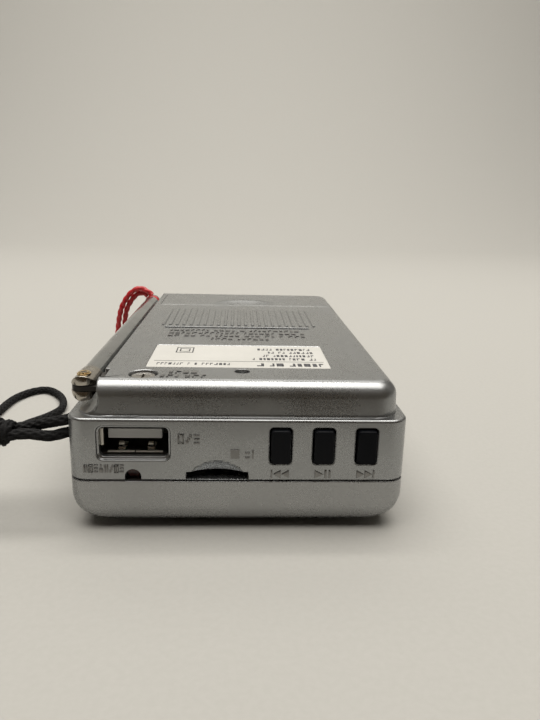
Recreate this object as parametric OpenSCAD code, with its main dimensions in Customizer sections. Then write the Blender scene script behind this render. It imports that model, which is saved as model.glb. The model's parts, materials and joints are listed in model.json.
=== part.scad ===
// Pocket transistor radio with a USB and memory-card player, lying on its front.
// Millimetres. Origin on the table under the middle of the case, +Z up through the back
// cover, +Y from the socket end towards the battery end, +X away from the antenna side.

/* [Case] */
// case width across the band
body_w = 62; // [56:0.5:70]
// case length, socket end to battery end
body_l = 108; // [100:0.5:116]
// total thickness, dial face to back
body_t = 28.4; // [26:0.1:32]
// height of the front half, up to the parting line
front_h = 10; // [8:0.1:12]
// height of the straight band above the parting line
band_h = 12; // [10:0.1:14]
// plastic wall thickness
wall = 1.8; // [1.4:0.1:2.4]
// corner radius of the band seen from above
corner_r = 3.5; // [2:0.5:6]
// step in from the band to the raised back
hump_in = 1.5; // [1:0.1:2.5]
// edge radius of the raised back
hump_r = 2; // [1:0.1:3]

/* [Sockets and buttons] */
// middle of the USB socket from the centre line
usb_x = -18.95; // [-22:0.05:-15]
// height of the middle of the USB socket
usb_z = 17.4; // [15:0.1:19]
// middle of the memory card slot
card_x = -3.9; // [-8:0.1:0]
// middle of the player light
led_x = -19.15; // [-22:0.05:-15]
// middle of the first button
btn_x = 7.6; // [6:0.1:10]
// distance between the buttons
btn_pitch = 7.85; // [7:0.05:9]
// height of the middle of the buttons
btn_z = 16.95; // [15:0.05:18]
// button cap width
btn_w = 3.55; // [3:0.05:4]
// button cap height
btn_h = 6.4; // [5:0.1:7]
// how far a button stands out of the case
btn_out = 0.9; // [0.5:0.1:1.5]

/* [Antenna] */
// line of the antenna beside the back
ant_x = -28.8; // [-29:0.1:-28]
// height of the antenna line
ant_z = 25.9; // [25:0.1:27]
// distance of the fold rivet from the socket end
ant_y = 7.4; // [6:0.1:9]
// outer tube diameter
ant_d = 4.5; // [3.5:0.1:5]
// length of each tube
ant_len = 85.5; // [70:0.5:88]

/* [Battery] */
// cell diameter
cell_d = 14.2; // [13.7:0.1:14.5]
// cell body length without its button
cell_l = 49; // [48.5:0.1:49.5]
// start of the battery door from the socket end
door_y = 82.6; // [80:0.1:86]

/* [Hidden] */
$fn = 48;
e = 0.01;
near = -body_l/2;
far = body_l/2;
hw = body_w/2;
band_z = front_h + band_h;
hx = hw - hump_in;
hy = far - hump_in;
in_top = body_t - wall;
rab_x = -25.5;      // wall of the antenna channel
rab_z = 22.3;       // floor of the antenna channel
rab_r = 2.6;        // hollow between floor and wall
ay = near + ant_y;  // fold rivet
pcb_z = 12.6;       // underside of the player board
pcb_t = 1.6;
main_z = 10.6;      // underside of the tuner board
main_t = 1.2;
main_y0 = -28.5;
main_y1 = 20.5;
main_posts = [[-26, -25.5], [-26, 17], [15.5, 18]];
player_posts = [[-10.2, near + 22], [25.3, near + 20]];
panel_w = 44;       // flat panel of the front
panel_l = 92;
panel_cut = 2.5;
win_x0 = 7.6;       // dial window in that panel
win_x1 = 17.6;
bay_y0 = 21.9;
bay_y1 = far - wall;
bay_z = 11;
cell_z = bay_z + 0.15 + cell_d/2;
cell_y1 = bay_y0 + 0.25 + cell_d/2;
cell_y2 = cell_y1 + cell_d + 0.3;
cell_x0 = -23.3;
door_0 = near + door_y;
tune_x = 20.2;
tune_y = -21;
tune_r = 12;
vol_x = 23.7;
vol_y = 3;
vol_r = 8.5;
wheel_z = 6.7;
wheel_t = 2.9;
spk_x = -4;
spk_y = 12.65;
spk_r = 16;
jack_y = -18;
jack_z = 15.2;
sw_y = 6;
sw_z = 14.6;
screw_x = -17.9;
screw_y = near + 7.1;
bay_screw_x = 19.4;
bay_screw_y = (cell_y1 + cell_y2)/2;
strap_y = near + 6.4;
strap_z = 18.9;

// ---------- plain shapes ----------
module rr2(w, l, r) {
  square([w - 2*r, l], center = true);
  square([w, l - 2*r], center = true);
  for (x = [-1, 1], y = [-1, 1])
    translate([x*(w/2 - r), y*(l/2 - r)]) circle(r);
}
module pad(w, l, r, h) linear_extrude(h) rr2(w, l, r);
// block with round upright corners R and a round top edge r
module dome(w, l, R, r, h) {
  pad(w, l, R, h - r);
  pad(w - 2*r, l - 2*r, R - r, h);
  for (x = [-1, 1]) translate([x*(w/2 - r), 0, h - r]) rotate([90, 0, 0])
    cylinder(r = r, h = l - 2*R, center = true);
  for (y = [-1, 1]) translate([0, y*(l/2 - r), h - r]) rotate([0, 90, 0])
    cylinder(r = r, h = w - 2*R, center = true);
  for (x = [-1, 1], y = [-1, 1]) translate([x*(w/2 - R), y*(l/2 - R), h - r])
    rotate_extrude() intersection() {
      translate([R - r, 0]) circle(r);
      translate([0, -r]) square([R, 2*r]);
    }
}
module xcyl(r, l) rotate([0, 90, 0]) cylinder(r = r, h = l);
module ycyl(r, l) rotate([-90, 0, 0]) cylinder(r = r, h = l);
module zcyl(r, l) cylinder(r = r, h = l);
module box(x0, x1, y0, y1, z0, z1) translate([x0, y0, z0]) cube([x1 - x0, y1 - y0, z1 - z0]);
module ring(ro, ri, h) difference() {
  cylinder(r = ro, h = h);
  translate([0, 0, -1]) cylinder(r = ri, h = h + 2);
}
module at(x, y, z) translate([x, y, z]) children();

// ---------- outer forms ----------
crown_r = 340;      // the front is crowned from side to side
crown_up = 1.2;     // and stands this much behind its flat panel
crown_c = crown_r + crown_up;
side_r = 6;         // its rounded edges at the sides
end_r = 3.5;        // and at the two ends
// upright plate with two round lower corners r, w wide, standing on z0
module round_bottom(w, r, z0) {
  translate([-w/2, z0 + r]) square([w, 20]);
  translate([-w/2 + r, z0]) square([w - 2*r, 20]);
  for (x = [-1, 1]) translate([x*(w/2 - r), z0 + r]) circle(r);
}
module front_form(w, l, R, rx, ry, z0, rc) intersection() {
  pad(w, l, R, front_h);
  rotate([90, 0, 0]) translate([0, 0, -l/2 - 1]) linear_extrude(l + 2) round_bottom(w, rx, z0);
  rotate([90, 0, 90]) translate([0, 0, -w/2 - 1]) linear_extrude(w + 2) round_bottom(l, ry, z0);
  translate([0, 0, crown_c]) rotate([90, 0, 0]) cylinder(r = rc, h = l + 4, center = true, $fn = 360);
}
// flat panel of the front, with cut corners, that carries the dial and the speaker slots
module front_panel() linear_extrude(3.3) difference() {
  square([panel_w, panel_l], center = true);
  for (x = [-1, 1], y = [-1, 1]) translate([x*panel_w/2, y*panel_l/2]) rotate(45)
    square(panel_cut*sqrt(2), center = true);
}
module hump_form() translate([0, 0, band_z - 1]) dome(2*hx, 2*hy, hump_r + 2.5, hump_r, body_t - band_z + 1);
module channel_cut() translate([0, hy + 3, 0]) rotate([90, 0, 0]) linear_extrude(2*hy + 6) difference() {
  translate([-hw - 4, rab_z]) square([hw + 4 + rab_x, body_t - rab_z + 2]);
  translate([rab_x - rab_r, rab_z - 1]) difference() {
    square([rab_r + 1, rab_r + 1]);
    translate([0, rab_r + 1]) circle(rab_r);
  }
}
module btn_hole(x) translate([x, near + wall + 1.6, btn_z]) rotate([90, 0, 0])
  linear_extrude(wall + 3) rr2(4.15, 7.0, 0.7);

// ---------- case ----------
module front_case() color("silver") {
  difference() {
    union() {
      front_form(body_w, body_l, corner_r, side_r, end_r, crown_up, crown_r);
      front_panel();
    }
    translate([0, 0, 0.01])
      front_form(body_w - 2*wall, body_l - 2*wall, 2.5, side_r - wall, end_r - wall,
        crown_up + wall - 0.2, crown_r - wall + 0.2);
    box(-panel_w/2 + wall, panel_w/2 - wall, -panel_l/2 + wall, panel_l/2 - wall, wall, 5);
    // speaker slots
    for (i = [-6:6]) let (y = spk_y + i*2.3, h = sqrt(14.5*14.5 - i*i*2.3*2.3))
      box(spk_x - h, spk_x + h, y - 0.6, y + 0.6, -1, wall + 1.4);
    // dial opening and the seat of its window
    box(win_x0 - 0.15, win_x1 + 0.15, tune_y - 7.15, tune_y + 7.15, -1, 5);
    box(win_x0 - 1.15, win_x1 + 1.15, tune_y - 8.15, tune_y + 8.15, 0.9, 5);
    // thumb wheel slots at the parting line
    box(hw - 4, hw + 1, tune_y - 9.3, tune_y + 9.3, wheel_z - 0.4, front_h + 1);
    box(hw - 4, hw + 1, vol_y - 6.9, vol_y + 6.9, wheel_z - 0.4, front_h + 1);
  }
  // posts for the two case screws
  for (x = [-1, 1]) at(x*bay_screw_x, bay_screw_y, 1.6) difference() {
    zcyl(2.4, 8.2);
    at(0, 0, 2.2) zcyl(0.85, 7);
  }
  // posts for the tuner board
  for (p = main_posts) let (z = abs(p[0]) > 20 ? 3.2 : 1.6) at(p[0], p[1], z) difference() {
    zcyl(2, main_z - z - 0.05);
    at(0, 0, 5.6 - z) zcyl(0.7, 6);
  }
  // seat and ribs of the speaker
  at(spk_x, spk_y, 1.5) ring(spk_r, spk_r - 1.3, 1.4);
  for (a = [20, 110, 200, 290]) at(spk_x, spk_y, 1.7) rotate([0, 0, a])
    box(spk_r + 0.15, spk_r + 1.4, -3, 3, 0, 4.4);
  // hooks that hold the socket end shut
  for (x = [-14, 24.5]) box(x, x + 2, near + wall + 0.15, near + wall + 1.35, 2.9, 11.6);
}

module rear_case() color("silver") {
  difference() {
    union() {
      translate([0, 0, front_h]) dome(body_w, body_l, corner_r, 0.5, band_h);
      hump_form();
    }
    // room inside the band and under the back
    translate([0, 0, front_h - 1]) pad(body_w - 2*wall, body_l - 2*wall, 1.5, band_h - wall + 1);
    difference() {
      translate([0, 0, band_z - 3]) pad(2*hx - 2*wall, 2*hy - 2*wall, 1.5, in_top - band_z + 3);
      box(-40, -24, -60, 60, 20.2, 40);
    }
    channel_cut();
    // opening of the battery bay
    difference() {
      at(0, 0, 0) hump_form();
      box(-40, -24, -60, 60, 10, 40);
      box(-40, 40, -60, door_0, 10, 40);
      box(-40, 40, -60, 60, 10, 22.1);
    }
    // sockets, light, buttons
    at(usb_x, near + wall + 2, usb_z) rotate([90, 0, 0]) linear_extrude(wall + 3) rr2(12.4, 5.6, 0.9);
    at(usb_x, near + 0.4, usb_z) rotate([90, 0, 0]) linear_extrude(2) rr2(13.3, 6.6, 1.3);
    box(usb_x - 6.8, usb_x + 6.8, near + wall - 0.1, near + 14, 20, 20.5);
    at(led_x, near - 1, 10.65) ycyl(1.45, wall + 2);
    box(led_x - 1.45, led_x + 1.45, near - 1, near + wall + 1, 9, 10.65);
    box(card_x - 5.65, card_x + 5.65, near - 1, near + wall + 1, 10.45, 11.85);
    difference() {
      at(card_x, near - 14.9, 8.15) sphere(r = 16.1, $fn = 96);
      box(-20, 20, near - 20, near + 3, -10, 10.45);
    }
    // groove at the parting line
    translate([0, 0, front_h - 1]) difference() {
      pad(body_w + 2, body_l + 2, corner_r, 1.3);
      translate([0, 0, -1]) pad(body_w - 0.8, body_l - 0.8, corner_r - 0.4, 4);
    }
    for (i = [0:2]) btn_hole(btn_x + i*btn_pitch);
    // screw recess, small round recess
    at(screw_x, screw_y, body_t - 1.6) zcyl(2.6, 3);
    at(screw_x, screw_y, 20) zcyl(1.2, 8);
    at(0.45, near + 9.3, body_t - 1.3) zcyl(1.45, 3);
    // opening in the channel wall for the antenna stud
    box(rab_x - 0.6, -24.6, ay - 2.8, ay + 2.8, ant_z - 2.8, 40);
    at(-25.6, ay, ant_z) xcyl(1.4, 5.1);
    box(-24.1, -20.4, ay - 2.9, ay + 2.9, 20, ant_z + 1.6);
    // strap eye
    box(-hw - 1, -26.8, strap_y - 1.9, strap_y + 1.9, strap_z - 2.9, strap_z + 2.9);
    // earphone and band switch openings
    at(-hw - 1, jack_y, jack_z) xcyl(3.1, 4);
    box(-hw - 1, -hw + 3, sw_y - 4.2, sw_y + 4.2, sw_z - 1.4, sw_z + 1.4);
    // seat of the label
    box(-18.35, 18.05, near + 11.95, near + 30.45, body_t - 0.2, 40);
  }
  // bar of the strap eye
  at(-29.6, strap_y - 2.4, strap_z) ycyl(0.6, 4.8);
  for (y = [-3, 1.9]) box(-30, -26.1, strap_y + y, strap_y + y + 1.1, strap_z - 3.6, 20.3);
  box(-26.8, -26.1, strap_y - 2, strap_y + 2, strap_z - 3.6, 20.3);
  box(-30, -26.1, strap_y - 2, strap_y + 2, strap_z - 3.6, strap_z - 2.9);
  // battery bay
  difference() {
    union() {
      box(-hw + 1.7, hw - 1.7, bay_y0 - 1.2, bay_y1 + 0.1, bay_z - 1, bay_z);
      box(-hw + 1.7, hw - 1.7, bay_y0 - 1.2, bay_y0, bay_z - 0.1, 20.3);
      box(-24.1, 27.8, bay_y0 - 1.2, bay_y0, 20, in_top + 0.1);
    }
    for (x = [-1, 1]) at(x*bay_screw_x, bay_screw_y, 0) zcyl(1.1, 20);
  }
  // rails that hold the battery contacts
  for (y = [cell_y1 - 6.3, cell_y2 + 5.1]) box(-hw + 1.7, -27.6, y, y + 1.2, bay_z - 0.1, 19.6);
  // screw post under the back
  at(screw_x, screw_y, 23.2) difference() {
    zcyl(2.9, in_top - 23.2 + 0.1);
    at(0, 0, -1) zcyl(1.2, 6);
  }
  // posts for the player board
  for (p = player_posts) at(p[0], p[1], pcb_z + pcb_t + 0.05) difference() {
    zcyl(2, in_top - pcb_z - pcb_t);
    at(0, 0, -1) zcyl(0.7, 6);
  }
  // grip ribs and the bead beside them on the back
  for (i = [0:22]) box(-19.9 + i*1.75, -19.1 + i*1.75, near + 51.8, near + 74.6, body_t - 0.3, body_t + 0.25);
  box(-18.8, 17.4, near + 49.1, near + 49.7, body_t - 0.3, body_t + 0.25);
}

module battery_door() color("silver") {
  difference() {
    intersection() {
      hump_form();
      box(-23.9, 40, door_0 + 0.12, 60, band_z + 0.12, 40);
    }
    translate([0, 0, band_z - 3]) pad(2*hx - 2*wall, 2*hy - 2*wall, 1.5, in_top - band_z + 3);
    // half-moon thumb grip
    difference() {
      at(1.4, door_0 + 0.9, body_t + 46.7) sphere(r = 47.8, $fn = 96);
      box(-40, 40, -60, door_0 + 0.9, 10, 50);
    }
  }
  // tongues that slip under the fixed back
  for (x = [-14, 8]) {
    box(x, x + 6, door_0 - 1.8, door_0 + 1.6, in_top - 1.15, in_top - 0.15);
    box(x, x + 6, door_0 + 0.3, door_0 + 1.6, in_top - 1.15, in_top + 0.2);
  }
}

module dial_window() color("gainsboro") {
  box(win_x0 - 1, win_x1 + 1, tune_y - 8, tune_y + 8, 0.95, 1.7);
  box(win_x0, win_x1, tune_y - 7, tune_y + 7, 0.25, 1.0);
}
module spec_label() color("ivory")
  box(-18.2, 17.9, near + 12.1, near + 30.3, body_t - 0.195, body_t - 0.095);

module screw_z(r, hr, hh, l) {
  difference() {
    zcyl(hr, hh);
    for (a = [0, 90]) rotate([0, 0, a]) box(-hr*0.6, hr*0.6, -0.22, 0.22, hh*0.4, hh + 1);
  }
  at(0, 0, -l) zcyl(r, l + 0.1);
}
module antenna_screw() color("gray") at(screw_x, screw_y, body_t - 1.55) screw_z(0.95, 2.2, 1.15, 5.8);
module case_screws() color("gray") for (x = [-1, 1])
  at(x*bay_screw_x, bay_screw_y, bay_z + 0.03) screw_z(0.8, 1.9, 1.0, 7);
module board_screws() color("gray") {
  for (p = main_posts) at(p[0], p[1], main_z + main_t + 0.03) screw_z(0.65, 1.6, 0.9, 5);
  for (p = player_posts) at(p[0], p[1], pcb_z - 0.03) mirror([0, 0, 1]) screw_z(0.65, 1.6, 0.9, 5);
}

// ---------- antenna ----------
module antenna_bracket() color("lightgray") {
  difference() {
    box(-21.6, -14.6, ay - 2.6, ay + 2.6, 22.05, 23.1);
    at(screw_x, screw_y, 20) zcyl(1.0, 5);
  }
  difference() {
    box(-22.6, -21.5, ay - 2.6, ay + 2.6, 22.05, ant_z + 1.5);
    at(-24, ay, ant_z) xcyl(1.2, 4);
  }
}
module antenna_stud() color("lightgray") {
  at(-25.45, ay, ant_z) xcyl(2.5, 0.8);
  at(-25.45, ay, ant_z) xcyl(1.15, 4.15);
  at(-21.4, ay, ant_z) xcyl(1.45, 0.45);
  difference() {
    intersection() {
      box(-40, -25.4, ay - 2.25, ay + 2.25, ant_z - 0.45, ant_z + 0.45);
      union() {
        at(ant_x, ay, ant_z - 2) zcyl(2.25, 4);
        box(ant_x, -20, ay - 3, ay + 3, ant_z - 2, ant_z + 2);
      }
    }
    at(ant_x, ay, ant_z - 2) zcyl(0.95, 4);
  }
}
module antenna_fork() color("silver") {
  difference() {
    intersection() {
      at(ant_x, ay - 3, ant_z) ycyl(2.4, 8.4);
      union() {
        at(ant_x, ay, ant_z - 3) zcyl(2.4, 6);
        box(ant_x - 3, ant_x + 3, ay, ay + 6, ant_z - 3, ant_z + 3);
      }
    }
    box(ant_x - 3, ant_x + 3, ay - 3, ay + 3.2, ant_z - 0.55, ant_z + 0.6);
    at(ant_x, ay, ant_z - 3) zcyl(0.9, 6);
    for (s = [0, 1]) at(ant_x, ay, ant_z) mirror([0, 0, s]) at(0, 0, 2.15) zcyl(1.5, 1);
  }
  at(ant_x, ay + 5.3, ant_z) ycyl(ant_d/2 - 0.28, 3);
}
module antenna_rivet() color("goldenrod") {
  at(ant_x, ay, ant_z - 2.35) zcyl(0.88, 4.7);
  for (s = [0, 1]) at(ant_x, ay, ant_z) mirror([0, 0, s]) at(0, 0, 2.17) {
    zcyl(1.3, 0.3);
    at(0, 0, 0.2) zcyl(0.95, 0.35);
  }
}
tube_y0 = ay + 5.42;
tube_y1 = tube_y0 + ant_len;
module tube(ro, ri, y0, y1) at(ant_x, y0, ant_z) rotate([-90, 0, 0]) ring(ro, ri, y1 - y0);
module antenna_tube_1() color("silver") tube(ant_d/2, ant_d/2 - 0.25, tube_y0, tube_y1);
module antenna_tube_2() color("silver") tube(ant_d/2 - 0.35, ant_d/2 - 0.6, tube_y0 + 3.3, tube_y1 + 0.4);
module antenna_tube_3() color("silver") tube(ant_d/2 - 0.7, ant_d/2 - 0.95, tube_y0 + 3.7, tube_y1 + 0.8);
module antenna_rod() color("silver") at(ant_x, tube_y0 + 4.1, ant_z) ycyl(ant_d/2 - 1.05, ant_len - 1.1);
module antenna_tip() color("dimgray") difference() {
  union() {
    at(ant_x, tube_y1 + 2.8, ant_z) ycyl(2.1, 2.4);
    at(ant_x, tube_y1 + 2.8, ant_z) ycyl(1.5, 3.0);
  }
  at(ant_x, tube_y1 + 2, ant_z) ycyl(ant_d/2 - 1.05, 0.9 + 0.11);
}

// ---------- player ----------
module player_pcb() color("darkgreen") difference() {
  box(-28.6, 28.6, near + wall + 0.3, near + 25, pcb_z, pcb_z + pcb_t);
  for (p = player_posts) at(p[0], p[1], 0) zcyl(0.9, 30);
  box(btn_x - 3.2, btn_x + 2*btn_pitch + 3.2, near, near + wall + 2.1, 0, 30);
}
module usb_shell() color("lightgray") difference() {
  at(usb_x, near + 13.6, usb_z) rotate([90, 0, 0]) linear_extrude(13.55 - wall) rr2(13.1, 5.7, 0.5);
  at(usb_x, near + 12.6, usb_z) rotate([90, 0, 0]) linear_extrude(13.3) rr2(12.5, 5.1, 0.3);
  for (x = [-2.7, 2.7]) box(usb_x + x - 0.9, usb_x + x + 0.9, near + 2.6, near + 7.6, usb_z - 4, usb_z - 2);
}
module usb_springs() color("lightgray") {
  for (x = [-2.7, 2.7]) {
    box(usb_x + x - 0.7, usb_x + x + 0.7, near + 2.7, near + 7.5, usb_z - 2.8, usb_z - 2.6);
    at(usb_x + x - 0.7, near + 4.3, usb_z - 2.65) xcyl(0.55, 1.4);
  }
}
module usb_tongue() color("gainsboro") {
  box(usb_x - 4.9, usb_x + 4.9, near + 2.6, near + 12.5, usb_z, usb_z + 1.84);
  box(usb_x - 6.1, usb_x + 6.1, near + 11.2, near + 12.5, usb_z - 2.4, usb_z + 2.4);
}
module usb_contacts() color("gold") for (x = [-3.5, -1, 1, 3.5])
  box(usb_x + x - 0.5, usb_x + x + 0.5, near + 3.4, near + 11.1, usb_z - 0.17, usb_z - 0.01);
module card_socket() color("lightgray") difference() {
  box(card_x - 6.9, card_x + 6.9, near + 2.1, near + 16.5, pcb_z - 2.35, pcb_z - 0.05);
  box(card_x - 5.6, card_x + 5.6, near + 1, near + 15.6, pcb_z - 2.1, pcb_z - 0.7);
}
module button(i) at(btn_x + i*btn_pitch, 0, 0) {
  at(0, near + wall + 0.9, btn_z) rotate([90, 0, 0])
    linear_extrude(wall + 0.9 + btn_out) rr2(btn_w, btn_h, 0.6);
  box(-2.9, 2.9, near + wall + 0.15, near + wall + 1.15, btn_z - 2.6, 20.05);
}
module prev_button() color("black") button(0);
module play_button() color("black") button(1);
module next_button() color("black") button(2);
module tact_switches() color("silver") for (i = [0:2]) at(btn_x + i*btn_pitch, near + wall, 0) {
  box(-2.9, 2.9, 2.9, 6.4, pcb_z + pcb_t + 0.03, pcb_z + pcb_t + 5);
  at(0, 2.05, btn_z) ycyl(0.9, 1);
}
module play_led() color("firebrick") {
  at(led_x, near + 1.95, 11) ycyl(1.3, 3);
  at(led_x, near + 4.5, 11) ycyl(1.55, 1);
  for (x = [-0.7, 0.7]) {
    at(led_x + x, near + 5.4, 11) ycyl(0.25, 2.1);
    at(led_x + x, near + 7.25, 10.8) zcyl(0.25, pcb_z - 10.85);
  }
}
module player_chips() color("dimgray") {
  box(2, 12, near + 14, near + 24, pcb_z + pcb_t + 0.03, pcb_z + pcb_t + 1.6);
  box(16, 21.5, near + 17, near + 22, pcb_z + pcb_t + 0.03, pcb_z + pcb_t + 1.3);
  box(-25, -19, near + 18, near + 23.5, pcb_z + pcb_t + 0.03, pcb_z + pcb_t + 1.3);
  box(-6, -1.5, near + 14, near + 23, pcb_z + pcb_t + 0.03, pcb_z + pcb_t + 3.4);
}

// ---------- tuner ----------
module main_pcb() color("peru") difference() {
  box(-28.4, 28.4, main_y0, main_y1, main_z, main_z + main_t);
  for (p = main_posts) at(p[0], p[1], 0) zcyl(0.85, 30);
  at(tune_x, tune_y, 0) zcyl(3.2, 30);
  at(vol_x, vol_y, 0) zcyl(3.2, 30);
}
module tuning_capacitor() color("white") at(tune_x, tune_y, main_z + main_t + 0.03) {
  difference() {
    union() {
      box(-7.7, 7.7, -6.9, 6.9, 0, 6.6);
      at(0, 0, -2.0) zcyl(2.9, 2.2);
    }
    at(0, 0, -3) zcyl(1.25, 3.4);
  }
}
module wheel(r, n) {
  difference() {
    at(0, 0, wheel_z) linear_extrude(wheel_t) polygon([for (i = [0:2*n - 1])
      (i % 2 == 0 ? r : r - 0.35)*[cos(180*i/n), sin(180*i/n)]]);
    at(0, 0, wheel_z - 1) zcyl(r - 1.3, 1.6);
  }
  at(0, 0, wheel_z + 0.7) zcyl(1.2, 4.2);
}
module tuning_wheel() color("dimgray") at(tune_x, tune_y, 0) wheel(tune_r, 60);
module dial_disc() color("white") at(tune_x, tune_y, wheel_z + 0.05) difference() {
  zcyl(10.4, 0.5);
  at(0, 0, -1) zcyl(2.2, 3);
}
module tuning_screw() color("gray") at(tune_x, tune_y, wheel_z + 0.55) mirror([0, 0, 1]) {
  zcyl(2.0, 0.9);
}
module volume_pot() color("tan") at(vol_x, vol_y, main_z + main_t + 0.03) {
  difference() {
    union() {
      zcyl(5.2, 3.2);
      box(-5.1, 5.1, -2, 7.8, 0, 2.6);
      at(0, 0, -2.0) zcyl(2.9, 2.2);
    }
    at(0, 0, -3) zcyl(1.25, 3.4);
  }
}
module volume_wheel() color("dimgray") at(vol_x, vol_y, 0) wheel(vol_r, 44);
module volume_screw() color("gray") at(vol_x, vol_y, wheel_z + 0.55) mirror([0, 0, 1]) zcyl(2.0, 0.9);
top = main_z + main_t + 0.03;
module tuner_ic() color("dimgray") box(-12, -4.6, -8.6, 9.4, top, top + 3.2);
module audio_ic() color("dimgray") box(3.2, 9.6, -2, 7.6, top, top + 3.2);
can_at = [[-19.5, -6], [-19.5, 3], [-2, -14], [-11, -18]];
module if_cans() color("silver") for (p = can_at) at(p[0], p[1], top) difference() {
  box(-3.6, 3.6, -3.6, 3.6, 0, 8);
  at(0, 0, 7.4) ring(1.9, 1.5, 1);
}
caps = [[-0.2, 1, 2.5, 9], [-0.2, -6, 2.5, 9], [12.4, -4, 3.2, 10.5], [11.6, 8.2, 2, 7]];
module capacitors() color("midnightblue") for (p = caps) at(p[0], p[1], top) zcyl(p[2], p[3]);
module ferrite_rod() color("dimgray") at(-22, 16, 21) xcyl(3.2, 46);
module antenna_coil() color("chocolate")
  for (x = [-14, 6]) at(x, 16, 21) rotate([0, 90, 0]) ring(3.9, 3.25, 11);
module rod_holders() color("white") for (x = [-20, 20]) difference() {
  union() {
    box(x - 1, x + 1, 14.4, 17.6, top, 17.9);
    at(x - 1, 16, 21) xcyl(4.3, 2);
  }
  at(x - 2, 16, 21) xcyl(3.25, 4);
}
module speaker_frame() color("silver") at(spk_x, spk_y, 0.1) {
  difference() {
    union() {
      at(0, 0, 2.85) zcyl(spk_r, 1.0);
      at(0, 0, 3.8) cylinder(r1 = 14.4, r2 = 9.8, h = 2.8);
    }
    at(0, 0, 2.8) zcyl(13.8, 0.7);
    at(0, 0, 3.45) cylinder(r1 = 13.8, r2 = 9.2, h = 2.7);
    at(0, 0, 5) zcyl(4.6, 3);
  }
}
module speaker_magnet() color("dimgray") at(spk_x, spk_y, 6.72) {
  zcyl(9.5, 2.2);
  at(0, 0, 2.1) zcyl(8.4, 0.7);
}
module speaker_cone() color("black") at(spk_x, spk_y, 0.1) {
  difference() {
    at(0, 0, 2.9) zcyl(13.7, 0.4);
    at(0, 0, 2.5) zcyl(12.2, 2);
  }
  difference() {
    at(0, 0, 3.1) cylinder(r1 = 12.5, r2 = 7.9, h = 2.0);
    at(0, 0, 2.8) cylinder(r1 = 12.1, r2 = 7.5, h = 2.0);
  }
  at(0, 0, 4.75) ring(8.0, 4.2, 0.3);
  at(0, 0, 4.75) zcyl(4.3, 0.35);
}
module earphone_jack() color("dimgray") difference() {
  union() {
    box(-29.0, -17.5, jack_y - 4, jack_y + 4, top, top + 6.4);
    at(-30.9, jack_y, jack_z) xcyl(2.9, 2.2);
  }
  at(-32, jack_y, jack_z) xcyl(1.8, 13);
}
module band_switch() color("silver") difference() {
  box(-28.6, -24.2, sw_y - 6.4, sw_y + 6.4, top, top + 5.4);
  box(-29, -26.6, sw_y - 4.3, sw_y + 4.3, sw_z - 1.3, sw_z + 1.3);
}
module band_knob() color("black") {
  box(-32.1, -28.9, sw_y - 4 + 0.15, sw_y - 4 + 4.1, sw_z - 1.15, sw_z + 1.15);
  box(-29, -26.8, sw_y - 3.9, sw_y, sw_z - 1.0, sw_z + 1.0);
}

// ---------- battery ----------
module cell(flip) {
  at(cell_x0 + (flip ? 1 : 0), 0, 0) {
    xcyl(cell_d/2, cell_l);
    at(flip ? -1 : cell_l - 0.1, 0, 0) xcyl(2.7, 1.1);
  }
}
module battery_1() color("darkgreen") at(0, cell_y1, cell_z) cell(false);
module battery_2() color("darkgreen") at(0, cell_y2, cell_z) cell(true);
module coil(x0, x1, r, n) for (i = [0:n - 1]) at(x0 + (x1 - x0)*i/(n - 1), 0, 0)
  rotate([0, 90, 0]) rotate_extrude() translate([r, 0]) circle(0.3, $fn = 16);
module battery_link() color("lightgray") {
  box(-28.7, -28.3, cell_y1 - 5, cell_y2 + 5, bay_z + 0.6, 20.1);
  at(0, cell_y1, cell_z) coil(-28.05, -23.65, 1.55, 6);
  at(0, cell_y1, cell_z) for (y = [-1.55, 1.55]) at(-28.4, y, 0) xcyl(0.25, 4.7);
  box(-28.4, -23.35, cell_y2 - 2.2, cell_y2 + 2.2, cell_z - 1.6, cell_z - 1.3);
  box(-23.65, -23.35, cell_y2 - 2.2, cell_y2 + 2.2, cell_z - 1.6, cell_z + 1.4);
}
module battery_plate() color("lightgray") {
  box(26.75, 27.1, cell_y1 - 3.5, cell_y1 + 3.5, bay_z + 0.1, cell_z + 4);
  box(27, 29.15, cell_y1 - 3.5, cell_y1 + 3.5, bay_z + 0.1, bay_z + 0.45);
}
module battery_spring() color("lightgray") {
  box(28.7, 29.1, cell_y2 - 4.5, cell_y2 + 4.5, bay_z + 0.6, 20.1);
  at(0, cell_y2, cell_z) coil(27.05, 28.5, 1.55, 3);
  at(0, cell_y2, cell_z) for (y = [-1.55, 1.55]) at(27.0, y, 0) xcyl(0.25, 1.8);
}

// ---------- cords ----------
function unit(v) = v/norm(v);
function frame_u(d) = unit(cross(d, abs(d[2]) < 0.9 ? [0, 0, 1] : [1, 0, 0]));
function tangent(p, i) = unit(p[min(i + 1, len(p) - 1)] - p[max(i - 1, 0)]);
function loop_ring(c, d, r, n) = let (u = frame_u(d), v = cross(d, u))
  [for (k = [0:n - 1]) c + r*(cos(360*k/n)*u + sin(360*k/n)*v)];
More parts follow.
